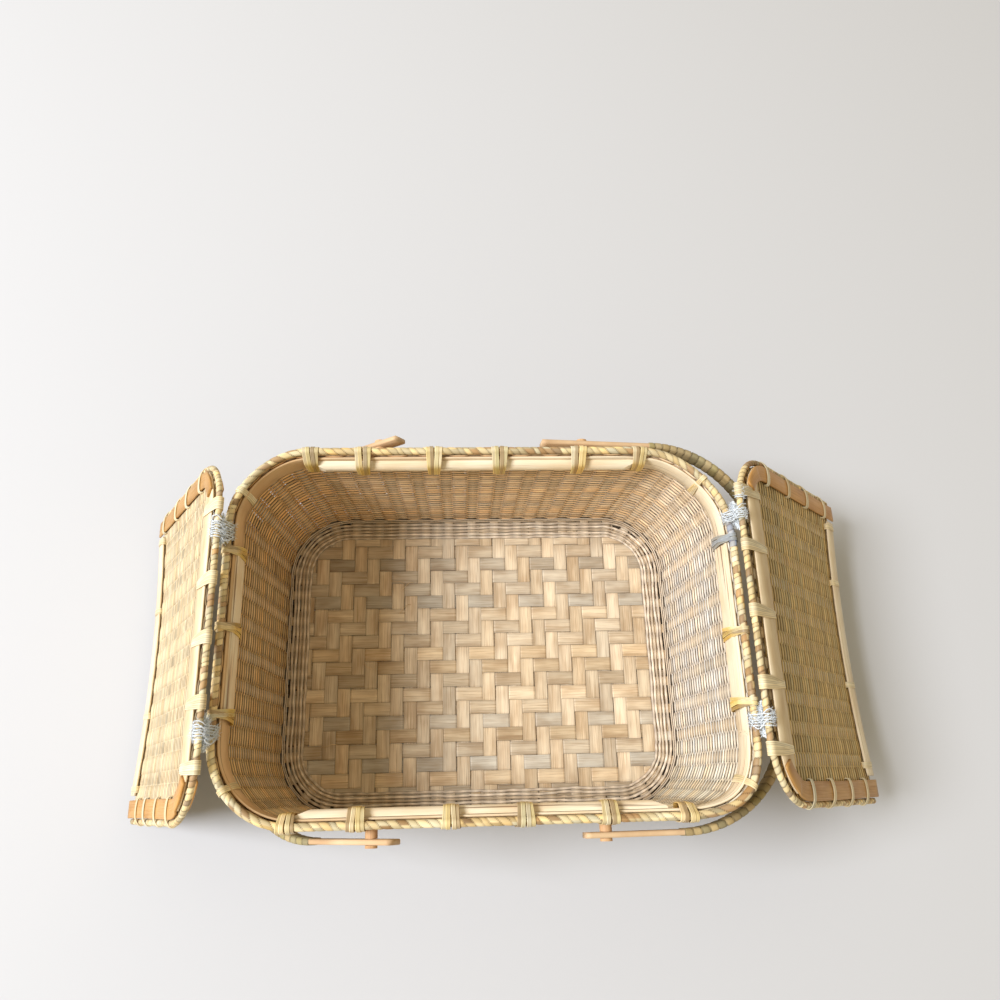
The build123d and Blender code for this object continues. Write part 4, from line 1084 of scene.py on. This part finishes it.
def lid_ties(lid):
    batch = Batch(111 + lid.sign)
    outline = mirrored([(32.6, 0.7), (33.4, 3.2), (30.0, 4.1), (20.0, 4.3), (9.0, 4.2), (2.5, 3.5),
                        (-1.5, 2.9), (-3.0, 1.2)])
    for t in LID_LASHINGS[lid.side]:
        lean = batch.random.uniform(-1.0, 1.0)
        here = (batch, lid.place((0, t, 0)), lid.s, lid.h, outline)
        straps(*here, ((-0.6 + lean, -0.6), (0.6 + lean, 0.6)), 4.0, 0.6, fan=2.7)
        straps(*here, ((lean, 0.0),), 3.8, 0.6)
    lid.build(batch, "hinge_lashings", "_cane", pale_tie, "cane_lashing")

    batch = Batch(115 + lid.sign)
    outline = mirrored([(119.6, 0.6), (118.9, 3.2), (120.6, 4.6), (128, 4.75), (134.5, 4.5), (137.5, 3.6),
                        (140.0, 2.2), (141.0, 0.6)])
    for way, places in ((1, PLUS_TIES[lid.side]), (-1, MINUS_TIES[lid.side])):
        for s in places:
            straps(batch, lid.place((s, 0, 0)), lid.t * way, lid.h, outline, ((-0.8 * way, -0.8 * way),),
                   4.6, 0.9, bow=way * batch.random.uniform(3.2, 5.0))
    lid.build(batch, "side_ties", "_cane", pale_tie, "cane_lashing")

    batch = Batch(119 + lid.sign)
    outline = [(184.6, 0.8), (183.9, 3.4), (185.4, 5.0), (192.0, 5.1), (198.4, 4.9), (199.9, 3.4), (200.1, 0),
               (199.9, -3.2), (198.4, -4.4), (192.0, -4.6), (185.4, -4.5), (183.9, -3.2), (184.6, -0.8)]
    for t in EDGE_TIES[lid.side]:
        origin = lid.place((0, t, float(lid_height(LID_LENGTH, t)) + 0.12))
        straps(batch, origin, lid.s, lid.h, outline, ((-1.0, 1.6), (1.2, -1.4)), 3.4, 0.5, fan=0.8)
    lid.build(batch, "edge_ties", "_cane", pale_tie, "cane_lashing")


twine_ties()
for lid in LIDS.values():
    lid_panel(lid)
    lid_coil(lid)
    lid_trim(lid)
    lid_ties(lid)

# Handles: a bent strip with a winding round its bow
WINDING_PITCH = 6.6
WINDING_STEP = 0.8
WINDING_SHADES = ((1.0, 1.0, 1.0), (0.72, 0.76, 0.74), (1.1, 1.06, 0.96), (0.86, 0.9, 0.76))


def handle_line(side, far_start, near_start, step):
    """A handle's middle line between two places on its legs, with its sideways and upward ways."""
    sign, drop = SIDES[side], radians(HANDLE_DROP[side])
    reach = np.array([sign * cos(drop), 0, -sin(drop)])
    corners = [(far_start, LEG_SPAN), (BOW_REACH, LEG_SPAN), (BOW_REACH, -LEG_SPAN), (near_start, -LEG_SPAN)]
    flat = resample(filleted(corners, BOW_CORNER, 40), step=step)
    points = np.array([sign * PIVOT_X, 0, PIVOT_Z]) + flat[:, :1] * reach + flat[:, 1:] * np.array([0, 1, 0])
    lift = np.tile([sign * sin(drop), 0, cos(drop)], (len(points), 1))
    return points, lift, np.cross(unit(np.gradient(points, axis=0)), lift)


def handle(side):
    body = f"handle_{side}"
    far_tail, near_tail = LEG_TAILS[side]
    batch = Batch(131 + SIDES[side])
    line = handle_line(side, -far_tail, -near_tail, 4.0)
    batch.tube(*line, board_section(12.8, 3.9, 0.8), tint=(1.0, 1.0, 1.0))
    batch.build(body + "_strip_bent", handle_cane, body, "handle_strip", [body + "_strip"])

    batch = Batch(135 + SIDES[side])
    line = handle_line(side, WRAP_START, WRAP_START, WINDING_STEP)
    outline = board_section(12.9, 4.1, 1.0)
    travel = np.arange(len(line[0])) * WINDING_STEP
    phase = travel[:, None] / WINDING_PITCH + (np.arange(len(outline)) / len(outline))[None] * 0.5
    inside = phase - np.floor(phase)
    dip = np.clip(1 - np.minimum(inside, 1 - inside) * WINDING_PITCH / 0.8, 0, 1)
    out = unit(outline * np.array([1 / 6.5, 1 / 2.0]))
    section = outline[None] + out[None] * (0.62 * (1 - dip))[..., None]
    bands = int(phase.max()) + 2
    tints = np.array(WINDING_SHADES)[batch.random.integers(0, 4, bands)]
    tints = tints * batch.random.normal(1.0, 0.08, bands)[:, None]
    # The groove between winding bands is sunk and painted dark, as painted shade
    batch.tube(*line, section, tint=tints[np.floor(phase).astype(int)], crease=dip ** 1.5 * 0.9)
    batch.build(body + "_winding", grip_cane, body, "handle_cane", [body + "_wrap"])


for side in SIDES:
    handle(side)
    paint(f"handle_pegs_{side}", peg_cane)
paint("lid_left_toggle", peg_cane)

# Floor, light and camera
FLOOR_REACH = 4.0


def placed(ways, position):
    """The matrix of an object from its own x, y and z ways and its place."""
    return Matrix([(*row, p) for row, p in zip(np.stack(ways, 1), position)] + [(0, 0, 0, 1)])


floor_mesh = bpy.data.meshes.new("stage_floor")
corners = [(x * FLOOR_REACH, y * FLOOR_REACH, 0) for x, y in ((-1, -1), (1, -1), (1, 1), (-1, 1))]
floor_mesh.from_pydata(corners, [], [(0, 1, 2, 3)])
floor_look, _, floor_shader = shaded("stage_floor")
floor_shader["Base Color"].default_value = srgb(206, 207, 210)
floor_shader["Roughness"].default_value = 0.9
floor_mesh.materials.append(floor_look)
floor = linked("stage_floor", floor_mesh)

world = bpy.data.worlds.new("studio")
bpy.context.scene.world = world
world.use_nodes = True
backdrop = world.node_tree.nodes["Background"].inputs
backdrop["Color"].default_value = (1.0, 0.87, 0.62, 1.0)
backdrop["Strength"].default_value = 0.5

KEY_PLACE = (-2.8, -0.1, 3.2)
KEY_TARGET = (0, 0, 0.1)
key_data = bpy.data.lights.new("key", "AREA")
key_data.shape = "DISK"
key_data.size = 1.6
key_data.energy = 212.0
key_data.color = (0.95, 0.98, 1.05)
key_back = unit(np.array(KEY_PLACE) - np.array(KEY_TARGET))
key_right = unit(np.cross(UPWARD, key_back))
linked("key", key_data).matrix_world = placed((key_right, np.cross(key_back, key_right), key_back), KEY_PLACE)

camera_data = bpy.data.cameras.new("camera")
camera_data.sensor_width = 36.0
camera_data.sensor_fit = "HORIZONTAL"
camera_data.lens = 30.2548
camera_data.clip_start = 0.01
camera = linked("camera", camera_data)
bpy.context.scene.camera = camera
RX, RY, RZ = 1.23261164, -0.0566807632, -0.00792088846
base = np.array([[1, 0, 0], [0, -sin(RX), -cos(RX)], [0, cos(RX), -sin(RX)]])
yaw = np.array([[cos(RY), 0, sin(RY)], [0, 1, 0], [-sin(RY), 0, cos(RY)]])
roll = np.array([[cos(RZ), -sin(RZ), 0], [sin(RZ), cos(RZ), 0], [0, 0, 1]])
R = roll @ yaw @ base
camera.matrix_world = placed((R[0], -R[1], -R[2]), (-0.024985, -0.124758, 0.815325))

bpy.context.scene.view_settings.view_transform = "Standard"
